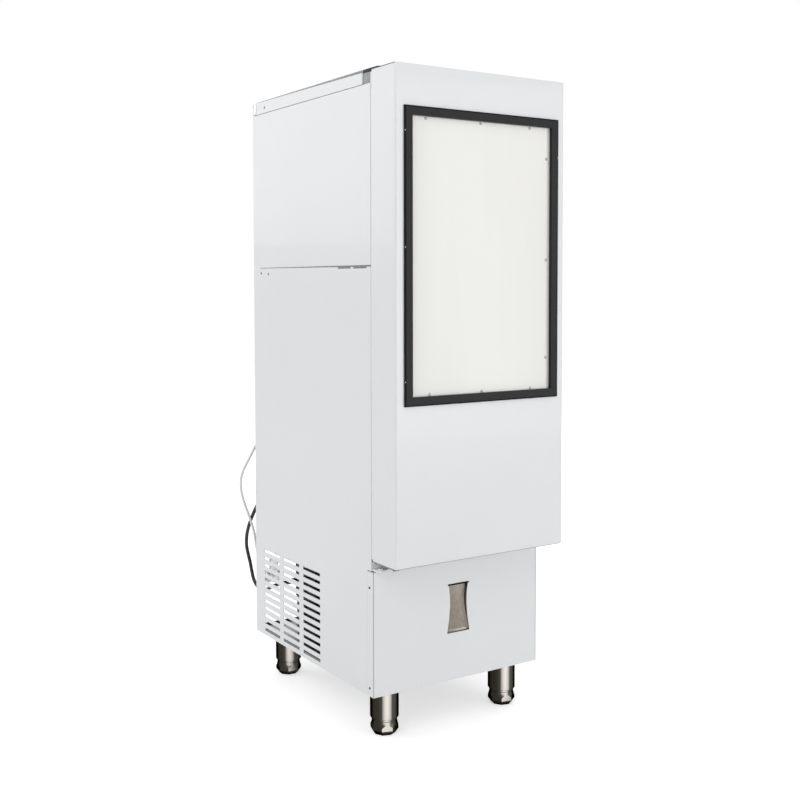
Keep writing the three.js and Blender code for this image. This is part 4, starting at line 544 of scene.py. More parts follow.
@dataclass
class Camera:
    """The camera at the photograph's place."""

    place: Point = (-1.2992, -1.9994, 0.8827)
    yaw: float = 33.0024
    pitch: float = -2.7076
    roll: float = -0.0897
    lens: float = 50.252
    sensor: float = 36.0
    shift_up: float = -0.0789

    def build(self) -> None:
        """Makes the scene's camera."""
        lens = bpy.data.cameras.new("camera")
        lens.lens = self.lens
        lens.sensor_width = self.sensor
        lens.shift_y = self.shift_up
        made = bpy.data.objects.new("camera", lens)
        bpy.context.scene.collection.objects.link(made)
        upright = Matrix.Rotation(math.radians(90.0 + self.pitch), 4, "X")
        turned = Matrix.Rotation(math.radians(-self.yaw), 4, "Z")
        rolled = Matrix.Rotation(math.radians(self.roll), 4, "Z")
        made.matrix_world = Matrix.Translation(self.place) @ turned @ upright @ rolled
        bpy.context.scene.camera = made


@dataclass(frozen=True)
class Lamp:
    """A soft lamp: where it hangs and its power in watts."""

    place: Point
    power: float


@dataclass
class Studio:
    """A white floor and soft lamps round the object."""

    floor_size: float = 18.0
    floor_drop: float = 0.0002
    floor_tone: float = 0.8
    floor_rough: float = 0.9
    lamp_size: float = 3.2
    lamps: tuple[Lamp, ...] = (
        Lamp((-3.4, -2.2, 3.1), 52.0),
        Lamp((1.7, -4.2, 0.45), 69.0),
        Lamp((2.6, 3.0, 3.2), 37.0),
        Lamp((-2.8, 3.4, 2.6), 34.0),
    )
    sky: float = 0.54
    glow: float = 0.55
    target: Point = (0.0, 0.0, 0.62)

    def build(self) -> None:
        """Makes the floor, the lamps and the world."""
        self.floor()
        for number, lamp in enumerate(self.lamps):
            self.lamp(f"soft_lamp_{number}", lamp)
        self.world()
        bpy.context.scene.view_settings.view_transform = "Standard"

    def seen_by(self, graph: Graph, *rays: str) -> Socket:
        """Adds a mask that is 1 for some kinds of ray.

        Args:
            graph: the node tree that it goes in.
            rays: the outputs of Light Path that count.

        Returns:
            The mask.
        """
        path = graph.node("ShaderNodeLightPath")
        mask = path.outputs[rays[0]]
        for ray in rays[1:]:
            mask = graph.calc("MAXIMUM", mask, path.outputs[ray])
        return mask

    def floor(self) -> None:
        """Makes a plain floor that looks white and keeps the object's shadow."""
        bpy.ops.mesh.primitive_plane_add(
            size=self.floor_size, location=(0.0, 0.0, -self.floor_drop)
        )
        made = bpy.context.object
        made.name = "floor"
        matter = bpy.data.materials.new("floor")
        matter.use_nodes = True
        graph = Graph(matter.node_tree)
        seen = self.seen_by(graph, "Is Camera Ray", "Is Glossy Ray")
        feeds = {
            "Base Color": (self.floor_tone, self.floor_tone, self.floor_tone, 1.0),
            "Roughness": self.floor_rough,
            "Emission Color": WHITE,
            "Emission Strength": graph.calc("MULTIPLY", seen, self.glow),
        }
        graph.feed(graph.tree.nodes["Principled BSDF"], feeds)
        made.data.materials.append(matter)

    def lamp(self, name: str, lamp: Lamp) -> None:
        """Makes a large square lamp that faces the object.

        Args:
            name: its name.
            lamp: its place and power.
        """
        light = bpy.data.lights.new(name, "AREA")
        light.size = self.lamp_size
        light.energy = lamp.power
        made = bpy.data.objects.new(name, light)
        bpy.context.scene.collection.objects.link(made)
        made.location = lamp.place
        way = Vector(self.target) - Vector(lamp.place)
        made.rotation_euler = way.to_track_quat("-Z", "Y").to_euler()

    def world(self) -> None:
        """Makes an even pale sky that looks white to the camera."""
        world = bpy.data.worlds.new("studio")
        world.use_nodes = True
        bpy.context.scene.world = world
        graph = Graph(world.node_tree)
        plain = graph.tree.nodes["Background"]
        graph.feed(plain, {"Color": WHITE, "Strength": self.sky})
        bright = graph.node("ShaderNodeBackground", {"Color": WHITE})
        seen = self.seen_by(graph, "Is Camera Ray", "Is Glossy Ray", "Is Transmission Ray")
        feeds = {"Fac": seen, 1: plain.outputs[0], 2: bright.outputs[0]}
        choice = graph.node("ShaderNodeMixShader", feeds)
        graph.feed(graph.tree.nodes["World Output"], {"Surface": choice.outputs[0]})


# Bench


# Faces that meet at less than this angle are shaded as one.
SMOOTH = 40.0
# How far a cutting shape reaches past what it cuts.
BEYOND = 0.01
# Points that are closer than this along an axis are level with each other.
NEAR = 1e-5


class Way(Enum):
    """What is kept of two shapes that are put together."""

    CUT = "DIFFERENCE"
    SHARED = "INTERSECT"
    JOINED = "UNION"


@dataclass(frozen=True)
class Head:
    """A domed screw head, with a cross recess and a washer under it or none.

    The dome's points, the recess and the washer's edge and top are shares of
    the radius or the height. Each head of a row is turned on from the last, in
    radians.
    """

    radius: float
    height: float
    washer: float = 0.0
    washer_height: float = 0.0004
    washer_edge: float = 0.7
    washer_top: float = 0.93
    seat: float = 0.0003
    dome: Pairs = ((1.0, 0.3), (0.9, 0.66), (0.66, 0.9), (0.3, 1.0))
    recess_floor: float = 0.35
    recess_arm: float = 0.56
    recess_half: float = 0.1
    turn: float = 0.7


@dataclass(frozen=True)
class Plate:
    """A thin plate between two corners, with its edges rounded."""

    low: Point
    high: Point
    bevel: float


def placed(centre: Point, axis: Point = UP, turn: float = 0.0) -> Matrix:
    """Returns the matrix that puts +Z along an axis at a place.

    Args:
        centre: the place.
        axis: the direction that +Z takes.
        turn: a turn about it first, in radians.

    Returns:
        The matrix.
    """
    way = Vector(UP).rotation_difference(Vector(axis)).to_matrix().to_4x4()
    return Matrix.Translation(centre) @ way @ Matrix.Rotation(turn, 4, "Z")


def under(node: str) -> Point:
    """Returns the point on the floor under the middle of a node."""
    low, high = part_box(node)
    return ((low.x + high.x) / 2, (low.y + high.y) / 2, 0.0)


class Bench:
    """Where pieces are modelled, and where they are handed to the frame."""

    def __init__(self, paints: Paintbox) -> None:
        """Keeps the finishes at hand."""
        self.paints = paints

    def take(self, *pieces: Piece) -> None:
        """Selects these pieces alone, or nothing, and makes the first one active.

        Args:
            pieces: the pieces.
        """
        bpy.ops.object.select_all(action="DESELECT")
        for piece in reversed(pieces):
            piece.select_set(True)
            bpy.context.view_layer.objects.active = piece

    def settle(self, piece: Piece) -> None:
        """Moves a piece's place into its mesh, so its object sits at the origin."""
        self.take(piece)
        bpy.ops.object.transform_apply(location=True, rotation=True, scale=True)

    def smooth(self, angle: float = SMOOTH) -> None:
        """Shades the active piece smooth where its faces meet at a small angle."""
        bpy.ops.object.shade_smooth_by_angle(angle=math.radians(angle))

    def finish(self, piece: Piece, name: str, slot: str, body: str) -> Piece:
        """Names, paints and places a piece on a body.

        Args:
            piece: the piece.
            name: its name.
            slot: the finish that it takes.
            body: the body that it moves with.

        Returns:
            The piece.
        """
        piece.name = name
        piece.data.name = name
        self.paints.paint(piece, slot)
        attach(piece, body)
        LOG.info("%s: %s, on %s", name, slot, body)
        return piece

    def block(self, low: Point, high: Point, bevel: float = 0.0, segments: int = 2) -> Piece:
        """Adds a block between two corners, with its edges rounded.

        Args:
            low: its lowest corner.
            high: its highest corner.
            bevel: the edges' radius.
            segments: the faces across each edge.

        Returns:
            The block.
        """
        first, last = Vector(low), Vector(high)
        self.take()
        bpy.ops.mesh.primitive_cube_add(size=1.0, location=(first + last) / 2)
        made = bpy.context.object
        made.scale = last - first
        self.settle(made)
        if bevel:
            self.round_edges(made, bevel, segments)
        return made

    def round_edges(
        self, piece: Piece, width: float, segments: int, angle: float = SMOOTH
    ) -> None:
        """Bevels a piece's sharp edges and shades the rounds smooth.

        Args:
            piece: the piece.
            width: the bevel's width.
            segments: the faces across it.
            angle: the least angle of a sharp edge.
        """
        self.take(piece)
        edge = piece.modifiers.new("edges", "BEVEL")
        edge.width = width
        edge.segments = segments
        edge.limit_method = "ANGLE"
        edge.angle_limit = math.radians(angle)
        bpy.ops.object.modifier_apply(modifier=edge.name)
        self.smooth(angle)

    def cut(self, piece: Piece, tool: Piece, way: Way = Way.CUT) -> Piece:
        """Cuts a piece by another, or joins the two, and removes the tool.

        Args:
            piece: the piece that is cut.
            tool: the shape that it is cut by or joined with.
            way: what is kept of the two.

        Returns:
            The cut piece.
        """
        self.take(piece)
        hollow = piece.modifiers.new("hollow", "BOOLEAN")
        hollow.operation = way.value
        hollow.solver = "EXACT"
        hollow.object = tool
        bpy.ops.object.modifier_apply(modifier=hollow.name)
        bpy.data.objects.remove(tool)
        return piece

    def ring(self, low: Point, high: Point, wide: float, bevel: float = 0.0) -> Piece:
        """Makes a rectangular ring that stands upright and faces the front.

        Args:
            low: its lowest corner.
            high: its highest corner.
            wide: the width of its four bars.
            bevel: the radius of its outer edges.

        Returns:
            The ring.
        """
        hole_low = (low[0] + wide, low[1] - BEYOND, low[2] + wide)
        hole_high = (high[0] - wide, high[1] + BEYOND, high[2] - wide)
        made = self.block(low, high, bevel)
        return self.cut(made, self.block(hole_low, hole_high))

    def lathe(self, profile: Profile, centre: Point = ORIGIN, sides: int = 24) -> Piece:
        """Spins a profile of (radius, height) points round an upright axis.

        Args:
            profile: the points, from one end of the axis to the other.
            centre: where height zero lies.
            sides: the faces around.

        Returns:
            The closed turned piece.
        """
        self.take()
        bpy.ops.mesh.primitive_circle_add(vertices=sides, radius=profile[0][0], fill_type="NGON")
        made = bpy.context.object
        bpy.ops.object.mode_set(mode="EDIT")
        bpy.ops.mesh.select_all(action="SELECT")
        bpy.ops.transform.translate(value=(0.0, 0.0, profile[0][1]))
        for (before, low), (radius, high) in zip(profile, profile[1:]):
            rise = {"value": (0.0, 0.0, high - low)}
            bpy.ops.mesh.extrude_region_move(TRANSFORM_OT_translate=rise)
            share = radius / before
            pole = (0.0, 0.0, high)
            bpy.ops.transform.resize(value=(share, share, 1.0), center_override=pole)
        bpy.ops.mesh.select_all(action="SELECT")
        bpy.ops.mesh.normals_make_consistent(inside=False)
        bpy.ops.object.mode_set(mode="OBJECT")
        made.matrix_world = placed(centre)
        self.settle(made)
        self.smooth()
        return made

    def screw_head(self, head: Head) -> Piece:
        """Makes a domed screw head, facing +Z at the origin.

        Args:
            head: its sizes.

        Returns:
            The head.
        """
        dome = [(wide * head.radius, tall * head.height) for wide, tall in head.dome]
        made = self.lathe([(head.radius, -head.seat), *dome])
        arm, half = head.recess_arm * head.radius, head.recess_half * head.radius
        low, high = head.recess_floor * head.height, 2.0 * head.height
        for wide, deep in ((arm, half), (half, arm)):
            self.cut(made, self.block((-wide, -deep, low), (wide, deep, high)))
        return made

    def washer(self, head: Head) -> Piece:
        """Makes the washer under a screw head, facing +Z at the origin.

        Args:
            head: the head's sizes.

        Returns:
            The washer.
        """
        rim, top = head.washer, head.washer_height
        edge, flat = head.washer_edge * top, head.washer_top * rim
        return self.lathe([(rim, -head.seat), (rim, edge), (flat, top)])

    def copies(self, piece: Piece, moves: list[Matrix]) -> Piece:
        """Copies a modelled piece to each place and joins the copies.

        Args:
            piece: the piece, modelled at the origin.
            moves: a matrix for each copy.

        Returns:
            One object with every copy.
        """
        made = []
        for move in moves:
            copy = piece.copy()
            copy.data = piece.data.copy()
            bpy.context.scene.collection.objects.link(copy)
            copy.matrix_world = move @ piece.matrix_world
            self.settle(copy)
            made.append(copy)
        bpy.data.objects.remove(piece)
        self.take(*made)
        bpy.ops.object.join()
        return made[0]

    def line(self, points: list[Point], radius: float, roundness: int = 3) -> Piece:
        """Makes a round curve through points, with closed ends.

        Args:
            points: the points.
            radius: the curve's radius.
            roundness: 0 for four faces around, and two more for each step.

        Returns:
            The curve object.
        """
        data = bpy.data.curves.new("line", "CURVE")
        data.dimensions = "3D"
        data.bevel_depth = radius
        data.bevel_resolution = roundness
        data.use_fill_caps = True
        spline = data.splines.new("POLY")
        spline.points.add(len(points) - 1)
        for point, place in zip(spline.points, points):
            point.co = (*place, 1.0)
        spline.use_smooth = True
        made = bpy.data.objects.new("line", data)
        bpy.context.scene.collection.objects.link(made)
        return made


@dataclass
class Trim:
    """Pieces that one body carries, and the bench that they are made on."""

    bench: Bench
    body: str = "cabinet"

    def finish(self, piece: Piece, name: str, slot: str) -> Piece:
        """Names and paints a piece and places it on this body."""
        return self.bench.finish(piece, name, slot, self.body)

    def plate(self, name: str, slot: str, plate: Plate) -> None:
        """Makes a plate on this body."""
        self.finish(self.bench.block(plate.low, plate.high, plate.bevel), name, slot)

    def side_plates(self, name: str, slot: str, plate: Plate) -> None:
        """Makes a plate of the right side and its mirror image at the left.

        Args:
            name: the start of their names.
            slot: the finish that they take.
            plate: the plate at the right.
        """
        for side, sign in SIDES:
            near, far = sorted((sign * plate.low[0], sign * plate.high[0]))
            low, high = (near, *plate.low[1:]), (far, *plate.high[1:])
            self.plate(f"{name}_{side}", slot, Plate(low, high, plate.bevel))

    def line(self, name: str, slot: str, points: list[Point], radius: float) -> None:
        """Makes a thin round line through points, such as a joint or a wire."""
        self.finish(self.bench.line(points, radius), name, slot)

    def screws(self, name: str, slot: str, head: Head, places: list[Point], axis: Point) -> None:
        """Makes equal screws that face along one axis, each turned its own way.

        Args:
            name: the piece's name.
            slot: the finish of the heads.
            head: the sizes of a head.
            places: where the heads meet what they hold.
            axis: the direction that they face.
        """
        moves = [placed(place, axis, head.turn * number) for number, place in enumerate(places)]
        self.finish(self.bench.copies(self.bench.screw_head(head), moves), name, slot)
        if head.washer:
            rings = self.bench.copies(self.bench.washer(head), moves)
            self.finish(rings, name + "_washers", "galvanised")


# Cords


def smooth_line(points: list[Point], steps: int) -> list[Point]:
    """Draws the centripetal curve through points, as the frame's source does.

    Args:
        points: the points that it passes.
        steps: the pieces between two points.

    Returns:
        The curve's points.
    """
    ends = [Vector(p) for p in points]
    line = [2 * ends[0] - ends[1], *ends, 2 * ends[-1] - ends[-2]]
    made: list[Point] = []
    for a, b, c, d in zip(line, line[1:], line[2:], line[3:]):
        first = (b - a).length ** 0.5
        middle = (c - b).length ** 0.5
        last = (d - c).length ** 0.5
        out = ((b - a) / first - (c - a) / (first + middle) + (c - b) / middle) * middle
        into = ((c - b) / middle - (d - b) / (middle + last) + (d - c) / last) * middle
        for step in range(steps):
            t = step / steps
            start = b * (2 * t**3 - 3 * t**2 + 1) + out * (t**3 - 2 * t**2 + t)
            made.append(tuple(start + c * (3 * t**2 - 2 * t**3) + into * (t**3 - t**2)))
    made.append(tuple(ends[-1]))
    return made


LEAD_ROUTE: list[Point] = [
    (-0.1166, 0.252, 0.205), (-0.125, 0.252, 0.205), (-0.1405, 0.2548, 0.204),
    (-0.1537, 0.2628, 0.2005), (-0.1615, 0.2765, 0.1945), (-0.1645, 0.292, 0.1875),
    (-0.165, 0.308, 0.1795), (-0.1655, 0.325, 0.1735), (-0.167, 0.343, 0.171),
    (-0.1688, 0.361, 0.1758), (-0.1708, 0.374, 0.189), (-0.173, 0.379, 0.2075),
    (-0.1775, 0.378, 0.229), (-0.1845, 0.374, 0.251), (-0.1915, 0.367, 0.274),
    (-0.195, 0.3575, 0.299), (-0.1945, 0.346, 0.325), (-0.191, 0.3335, 0.35),
    (-0.187, 0.3205, 0.372), (-0.1835, 0.3085, 0.39), (-0.1785, 0.299, 0.4038),
    (-0.1704, 0.2926, 0.4136), (-0.159, 0.2882, 0.4201), (-0.146, 0.2866, 0.4223),
    (-0.133, 0.2866, 0.42), (-0.1216, 0.2876, 0.4134), (-0.1125, 0.2896, 0.4025),
    (-0.103, 0.2925, 0.382), (-0.09, 0.2965, 0.347), (-0.07, 0.3015, 0.293),
    (-0.048, 0.308, 0.236), (-0.028, 0.315, 0.17), (-0.017, 0.322, 0.107),
    (-0.0136, 0.328, 0.065), (-0.0136, 0.3315, 0.042), (-0.0136, 0.3395, 0.025),
    (-0.0136, 0.3515, 0.0156), (-0.0136, 0.3635, 0.01285), (-0.0136, 0.3717, 0.0128),
]
HOSE_ROUTE: list[Point] = [
    (-0.176, 0.2938, 0.528), (-0.176, 0.303, 0.528), (-0.1775, 0.3185, 0.5238),
    (-0.1825, 0.3298, 0.5125), (-0.1905, 0.334, 0.496), (-0.201, 0.336, 0.476),
    (-0.212, 0.3375, 0.455), (-0.218, 0.338, 0.433), (-0.218, 0.336, 0.408),
    (-0.2135, 0.333, 0.385), (-0.2065, 0.33, 0.362), (-0.199, 0.3275, 0.338),
    (-0.192, 0.3265, 0.314), (-0.1875, 0.3265, 0.29), (-0.1845, 0.3255, 0.268),
    (-0.181, 0.3205, 0.246), (-0.176, 0.309, 0.2285), (-0.172, 0.294, 0.222),
    (-0.172, 0.2843, 0.222),
]


@dataclass(frozen=True)
class Reel:
    """The lead's unseen length, wound in two layers behind the cabinet."""

    x: float = 0.040
    y: float = 0.380
    inner: float = 0.036
    pitch: float = 0.0088
    layer: float = 0.0086
    turns_in: float = 2.0
    turns_out: float = 2.25
    turn_steps: int = 24
    tail: float = 0.034
    rise: float = 0.006
    tail_steps: int = 6
    low: float = 0.0042

    def route(self) -> list[Point]:
        """Works out the line of the coil and of its straight tail.

        Returns:
            The line's points.
        """
        made: list[Point] = []
        steps = round((self.turns_in + self.turns_out) * self.turn_steps)
        for step in range(steps + 1):
            turn = step / self.turn_steps - self.turns_in
            angle = math.pi - math.tau * step / self.turn_steps
            radius = self.inner + self.pitch * abs(turn)
            climb = min(max(0.5 - 2.0 * turn, 0.0), 1.0)
            x, y = self.x + radius * math.cos(angle), self.y + radius * math.sin(angle)
            made.append((x, y, self.low + climb * self.layer))
        end = made[-1]
        near = 1.0 / self.tail_steps
        for step in range(1, self.tail_steps + 1):
            share = step / self.tail_steps
            part = min(max((share - near) / (1.0 - 2.0 * near), 0.0), 1.0)
            lift = part * part * (3.0 - 2.0 * part)
            made.append((end[0] + self.tail * share, end[1], end[2] + self.rise * lift))
        return made


@dataclass
class Cords(Trim):
    """The mains lead with its plug and strain relief, and the water tube."""

    lead_radius: float = 0.004
    hose_radius: float = 0.003175
    hose_play: float = 0.00025
    steps: int = 6
    reel: Reel = Reel()
    relief_length: float = 0.030
    relief_radius: float = 0.0068
    relief_taper: float = 0.0019
    rib_pitch: float = 0.0025
    rib_height: float = 0.0006

    def build(self) -> None:
        self.mains_lead()
        self.water_tube()

    def mains_lead(self) -> None:
        """Makes the lead from the gland, over the hook and into its coil."""
        route = smooth_line(LEAD_ROUTE, self.steps) + self.reel.route()
        lead = self.bench.line(route, self.lead_radius, roundness=4)
        self.finish(lead, "mains_lead_sheath", "black_rubber")
        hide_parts("mains_lead", "mains_coil")
        relief = self.strain_relief(route)

    def strain_relief(self, route: list[Point]) -> Piece:
        """Makes the ribbed tapered sleeve round the lead's first stretch.

        Args:
            route: the lead's points.

        Returns:
            The sleeve.
        """
        start, reach = route[0], self.relief_length
        first = [place for place in route if math.dist(place, start) < reach]
        made = self.bench.line(first, radius=1.0, roundness=5)
        for point in made.data.splines[0].points:
            run = math.dist(point.co[:3], start)
            rib = self.rib_height if round(run / self.rib_pitch) % 2 else 0.0
            point.radius = self.relief_radius - self.relief_taper * run / reach + rib
        return self.finish(made, "lead_strain_relief", "black_rubber")

    def water_tube(self) -> None:
        """Makes the white tube from the collar to the inlet valve."""
        route = smooth_line(HOSE_ROUTE, self.steps)
        tube = self.bench.line(route, self.hose_radius - self.hose_play, roundness=4)
        self.finish(tube, "water_tube_wall", "hose_white")
        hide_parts("water_tube")


# Door, cabinet and drawer


@dataclass
class WindowTrim(Trim):
    """What the window carries: its screws, the studs of its frame and the edging, which also
    paints shade in the frame's step.
    """

    body: str = "door"
    screw: Head = Head(0.0019, 0.0011, 0.0027)
    column_x: float = 0.157
    column_z: Row = (1.129, 0.930, 0.736)
    top_z: float = 1.1865
    top_x: Row = (-0.132, -0.006, 0.114)
    bottom_z: float = 0.677
    bottom_x: Row = (-0.124, -0.002, 0.118)
    stud: Head = Head(0.0012, 0.0008)
    stud_x: float = 0.1813
    stud_back: float = 0.0009
    left_stud_z: Row = (1.1615, 0.950, 0.703)
    right_stud_z: float = 1.1326
    edging_depths: tuple[float, float] = (0.0006, 0.0011)
    edging_width: float = 0.0024
    edging_bevel: float = 0.0003

    def build(self) -> None:
        """Makes every piece of the window's trim."""
        self.window_screws()
        self.frame_studs()
        self.frame_edging()

    def window_screws(self) -> None:
        """Makes the screws that hold the window's panel to its frame."""
        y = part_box("window_panel")[0].y
        places = [(x, y, self.top_z) for x in self.top_x]
        places += [(x, y, self.bottom_z) for x in self.bottom_x]
        places += [(self.column_x, y, z) for z in self.column_z]
        self.screws("window_screws", "tinned", self.screw, places, FRONT)

    def frame_studs(self) -> None:
        """Makes the small bright studs on the step round the window frame."""
        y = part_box("window_frame")[0].y + self.stud_back
        places = [(-self.stud_x, y, z) for z in self.left_stud_z]
        places.append((self.stud_x, y, self.right_stud_z))
        self.screws("frame_studs", "tinned", self.stud, places, FRONT)

    def frame_edging(self) -> None:
        """Makes the dark edging that lies in the step round the window frame; its dark also
        paints the shade in that step.
        """
        low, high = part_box("window_frame")
        front, back = (low.y + depth for depth in self.edging_depths)
        corners = (low.x, front, low.z), (high.x, back, high.z)
        # The dark ring is partly painted shade of the step round the frame.
        ring = self.bench.ring(*corners, self.edging_width, self.edging_bevel)
        self.finish(ring, "window_step_edging_and_painted_shade", "black_rubber_matt")


@dataclass
class DoorTrim(Trim):
    """The door's seal, the fine joints along its edges and a grey line of painted shade along its
    foot.
    """

    body: str = "door"
    seal_low: Point = (-0.1998, -0.2109, 0.3592)
    seal_high: Point = (0.1998, -0.2058, 1.2785)
    seal_width: float = 0.0165
    seal_bevel: float = 0.0012
    groove_half: float = 0.0006
    groove_depth: float = 0.0006
    joint_inset: float = 0.00115
    joint_short: float = 0.0002
    corner_joint: float = 0.00028
    top_joint: float = 0.0006
    top_joint_x: tuple[float, float] = (-0.2001, 0.1994)
    top_joint_y: tuple[float, float] = (-0.2905, -0.2115)
    top_joint_drop: float = 0.0007
    foot_shade: float = 0.0004
    foot_shade_half: float = 0.1962

    def build(self) -> None:
        """Makes the seal and the joints."""
        self.seal()
        self.edge_joints()

    def seal(self) -> None:
        """Makes the white bellows seal that fills the gap behind the door."""
        low, high = self.seal_low, self.seal_high
        ring = self.bench.ring(low, high, self.seal_width, self.seal_bevel)
        middle = 0.5 * (low[1] + high[1])
        near, far = middle - self.groove_half, middle + self.groove_half
        groove_low = (low[0] - BEYOND, near, low[2] - BEYOND)
        groove_high = (high[0] + BEYOND, far, high[2] + BEYOND)
        groove = self.bench.ring(groove_low, groove_high, BEYOND + self.groove_depth)
        self.bench.cut(ring, groove)
        self.finish(ring, "door_seal_bellows", "seal_rubber")
        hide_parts("door_gasket")

    def edge_joints(self) -> None:
        """Makes the fine joints at the door's front corners and its top, and a grey line along
        its foot that marks the bottom edge with painted shade.
        """
        shell_low, shell_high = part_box("door_shell")
        low, high = shell_low.z + self.joint_short, shell_high.z - self.joint_short
        y, top_z = shell_low.y + self.joint_inset, shell_high.z - self.top_joint_drop
        for (side, sign), top_x in zip(SIDES, self.top_joint_x):
            x = sign * (shell_high.x - self.joint_inset)
            ends = [(x, y, low), (x, y, high)]
            self.line(f"door_edge_joint_{side}", "tinned", ends, self.corner_joint)
            ends = [(top_x, top_y, top_z) for top_y in self.top_joint_y]
            self.line(f"door_top_joint_{side}", "black_plastic", ends, self.top_joint)
        # The grey line along the door's foot partly paints the shade under the door's bottom
        # edge.
        half = self.foot_shade_half
        ends = [(-half, shell_low.y, low), (half, shell_low.y, low)]
        self.line("door_edge_joint_bottom", "galvanised", ends, self.foot_shade)


@dataclass
class HingePlates(Trim):
    """The door's two hinge plates, and the sleeve and bolts at the lower one."""

    body: str = "door"
    arm: Plate = Plate((-0.1994, -0.2620, 0.3540), (-0.1500, -0.2125, 0.3567), 0.0004)
    finger: Plate = Plate((-0.1994, -0.2895, 0.3540), (-0.1915, -0.2600, 0.3567), 0.0004)
    bolt: Head = Head(0.0026, 0.0022)
    bolt_x: float = -0.1958
    bolt_y: Row = (-0.2175, -0.2400, -0.2800)
    pin: Point = (-0.191, -0.224, 0.0)
    pin_hole: float = 0.0031
    sleeve: Pairs = (
        (0.0034, 0.3447), (0.0034, 0.3460), (0.0028, 0.3464), (0.0028, 0.3538),
    )
    sleeve_bore: float = 0.0026
    bore_low: float = 0.340
    bore_high: float = 0.365
    pin_sides: int = 32
    top_plate: Plate = Plate((-0.1996, -0.2888, 1.2826), (-0.1500, -0.2328, 1.2834), 0.0002)

    def build(self) -> None:
        """Makes the plates and what belongs to them."""
        self.hinge_plate()
        self.plate("door_top_hinge_plate", "black_steel", self.top_plate)

    def hinge_plate(self) -> None:
        """Makes the hinge plate under the door, its finger, bolts and pin sleeve."""
        arm, finger = self.arm, self.finger
        plate = self.bench.block(arm.low, arm.high, arm.bevel)
        self.bench.cut(plate, self.bench.block(finger.low, finger.high, finger.bevel), Way.JOINED)
        self.bench.cut(plate, self.pin_rod(self.pin_hole))
        self.finish(plate, "door_hinge_plate", "galvanised")
        sleeve = self.bench.lathe(list(self.sleeve), self.pin, self.pin_sides)
        self.bench.cut(sleeve, self.pin_rod(self.sleeve_bore))
        self.bench.finish(sleeve, "hinge_pin_sleeve", "galvanised", "cabinet")
        places = [(self.bolt_x, y, arm.low[2]) for y in self.bolt_y]
        self.screws("hinge_plate_bolts", "black_steel", self.bolt, places, DOWN)

    def pin_rod(self, radius: float) -> Piece:
        """Makes a rod along the lower hinge pin, to cut a bore."""
        low, high = self.bore_low, self.bore_high
        return self.bench.lathe([(radius, low), (radius, high)], self.pin, self.pin_sides)


@dataclass
class CabinetTrim(Trim):
    """What the cabinet's panels carry: screws, strips, tapes, a tab and a lid."""

    side_screw: Head = Head(0.0026, 0.0012)
    side_x: float = -0.2
    side_places: Pairs = (
        (0.260, 0.907), (0.225, 0.905), (0.2385, 1.2704),
    )
    rear_screw: Head = Head(0.0034, 0.0017)
    rear_y: float = 0.2815
    rear_x: float = 0.170
    rear_z: Row = (0.365, 0.630, 0.895, 0.940, 1.090, 1.235)
    rail_strip: Plate = Plate((0.1986, -0.1755, 1.2800), (0.1998, 0.2795, 1.2858), 0.0002)
    lid_tab: Plate = Plate((-0.2004, 0.2815, 1.2602), (-0.1990, 0.2968, 1.2836), 0.0003)
    box_lid: Plate = Plate((-0.1056, 0.2821, 0.1604), (-0.0484, 0.2850, 0.2416), 0.0009)
    lid_screw: Head = Head(0.0023, 0.0012)
    lid_screw_inset: float = 0.005
    lid_screw_sink: float = 0.0002
    seam_tape: Plate = Plate((0.1974, -0.1900, 0.9060), (0.1986, 0.2700, 0.9290), 0.0003)

    def build(self) -> None:
        """Makes every piece of the cabinet's trim."""
        places = [(self.side_x, y, z) for y, z in self.side_places]
        self.screws("side_screws", "galvanised", self.side_screw, places, LEFT)
        sides = (-self.rear_x, self.rear_x)
        places = [(x, self.rear_y, z) for x in sides for z in self.rear_z]
        self.screws("rear_screws", "tinned", self.rear_screw, places, BACK)
        self.side_plates("rail_strip", "galvanised", self.rail_strip)
        self.plate("lid_rear_tab", "tinned", self.lid_tab)
        self.terminal_lid()
        self.side_plates("seam_tape", "galvanised", self.seam_tape)

    def terminal_lid(self) -> None:
        """Makes the terminal box's lid and its four screws."""
        self.plate("terminal_box_lid", "black_plastic", self.box_lid)
        low, high, inset = self.box_lid.low, self.box_lid.high, self.lid_screw_inset
        y = high[1] - self.lid_screw_sink
        columns = (low[0] + inset, high[0] - inset)
        places = [(x, y, z) for x in columns for z in (low[2] + inset, high[2] - inset)]
        self.screws("terminal_lid_screws", "tinned", self.lid_screw, places, BACK)


@dataclass
class DrawerTrim(Trim):
    """What the drawer's front carries: flange screws and edge joints."""

    body: str = "drawer"
    screw: Head = Head(0.0024, 0.0010)
    screw_y: float = -0.1987
    screw_z: Row = (0.303, 0.108)
    joint: float = 0.0004
    joint_inset: float = 0.0005
    joint_proud: float = 0.00002

    def build(self) -> None:
        """Makes every piece of the drawer's trim."""
        low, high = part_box("drawer_front")
        places = [(low.x, self.screw_y, z) for z in self.screw_z]
        self.screws("drawer_flange_screws", "black_steel", self.screw, places, LEFT)
        y = low.y - self.joint_proud
        for side, sign in SIDES:
            x = sign * (high.x - self.joint_inset)
            ends = [(x, y, low.z + self.joint_inset), (x, y, high.z - self.joint_inset)]
            self.line(f"drawer_edge_joint_{side}", "black_plastic", ends, self.joint)


# Legs and feet


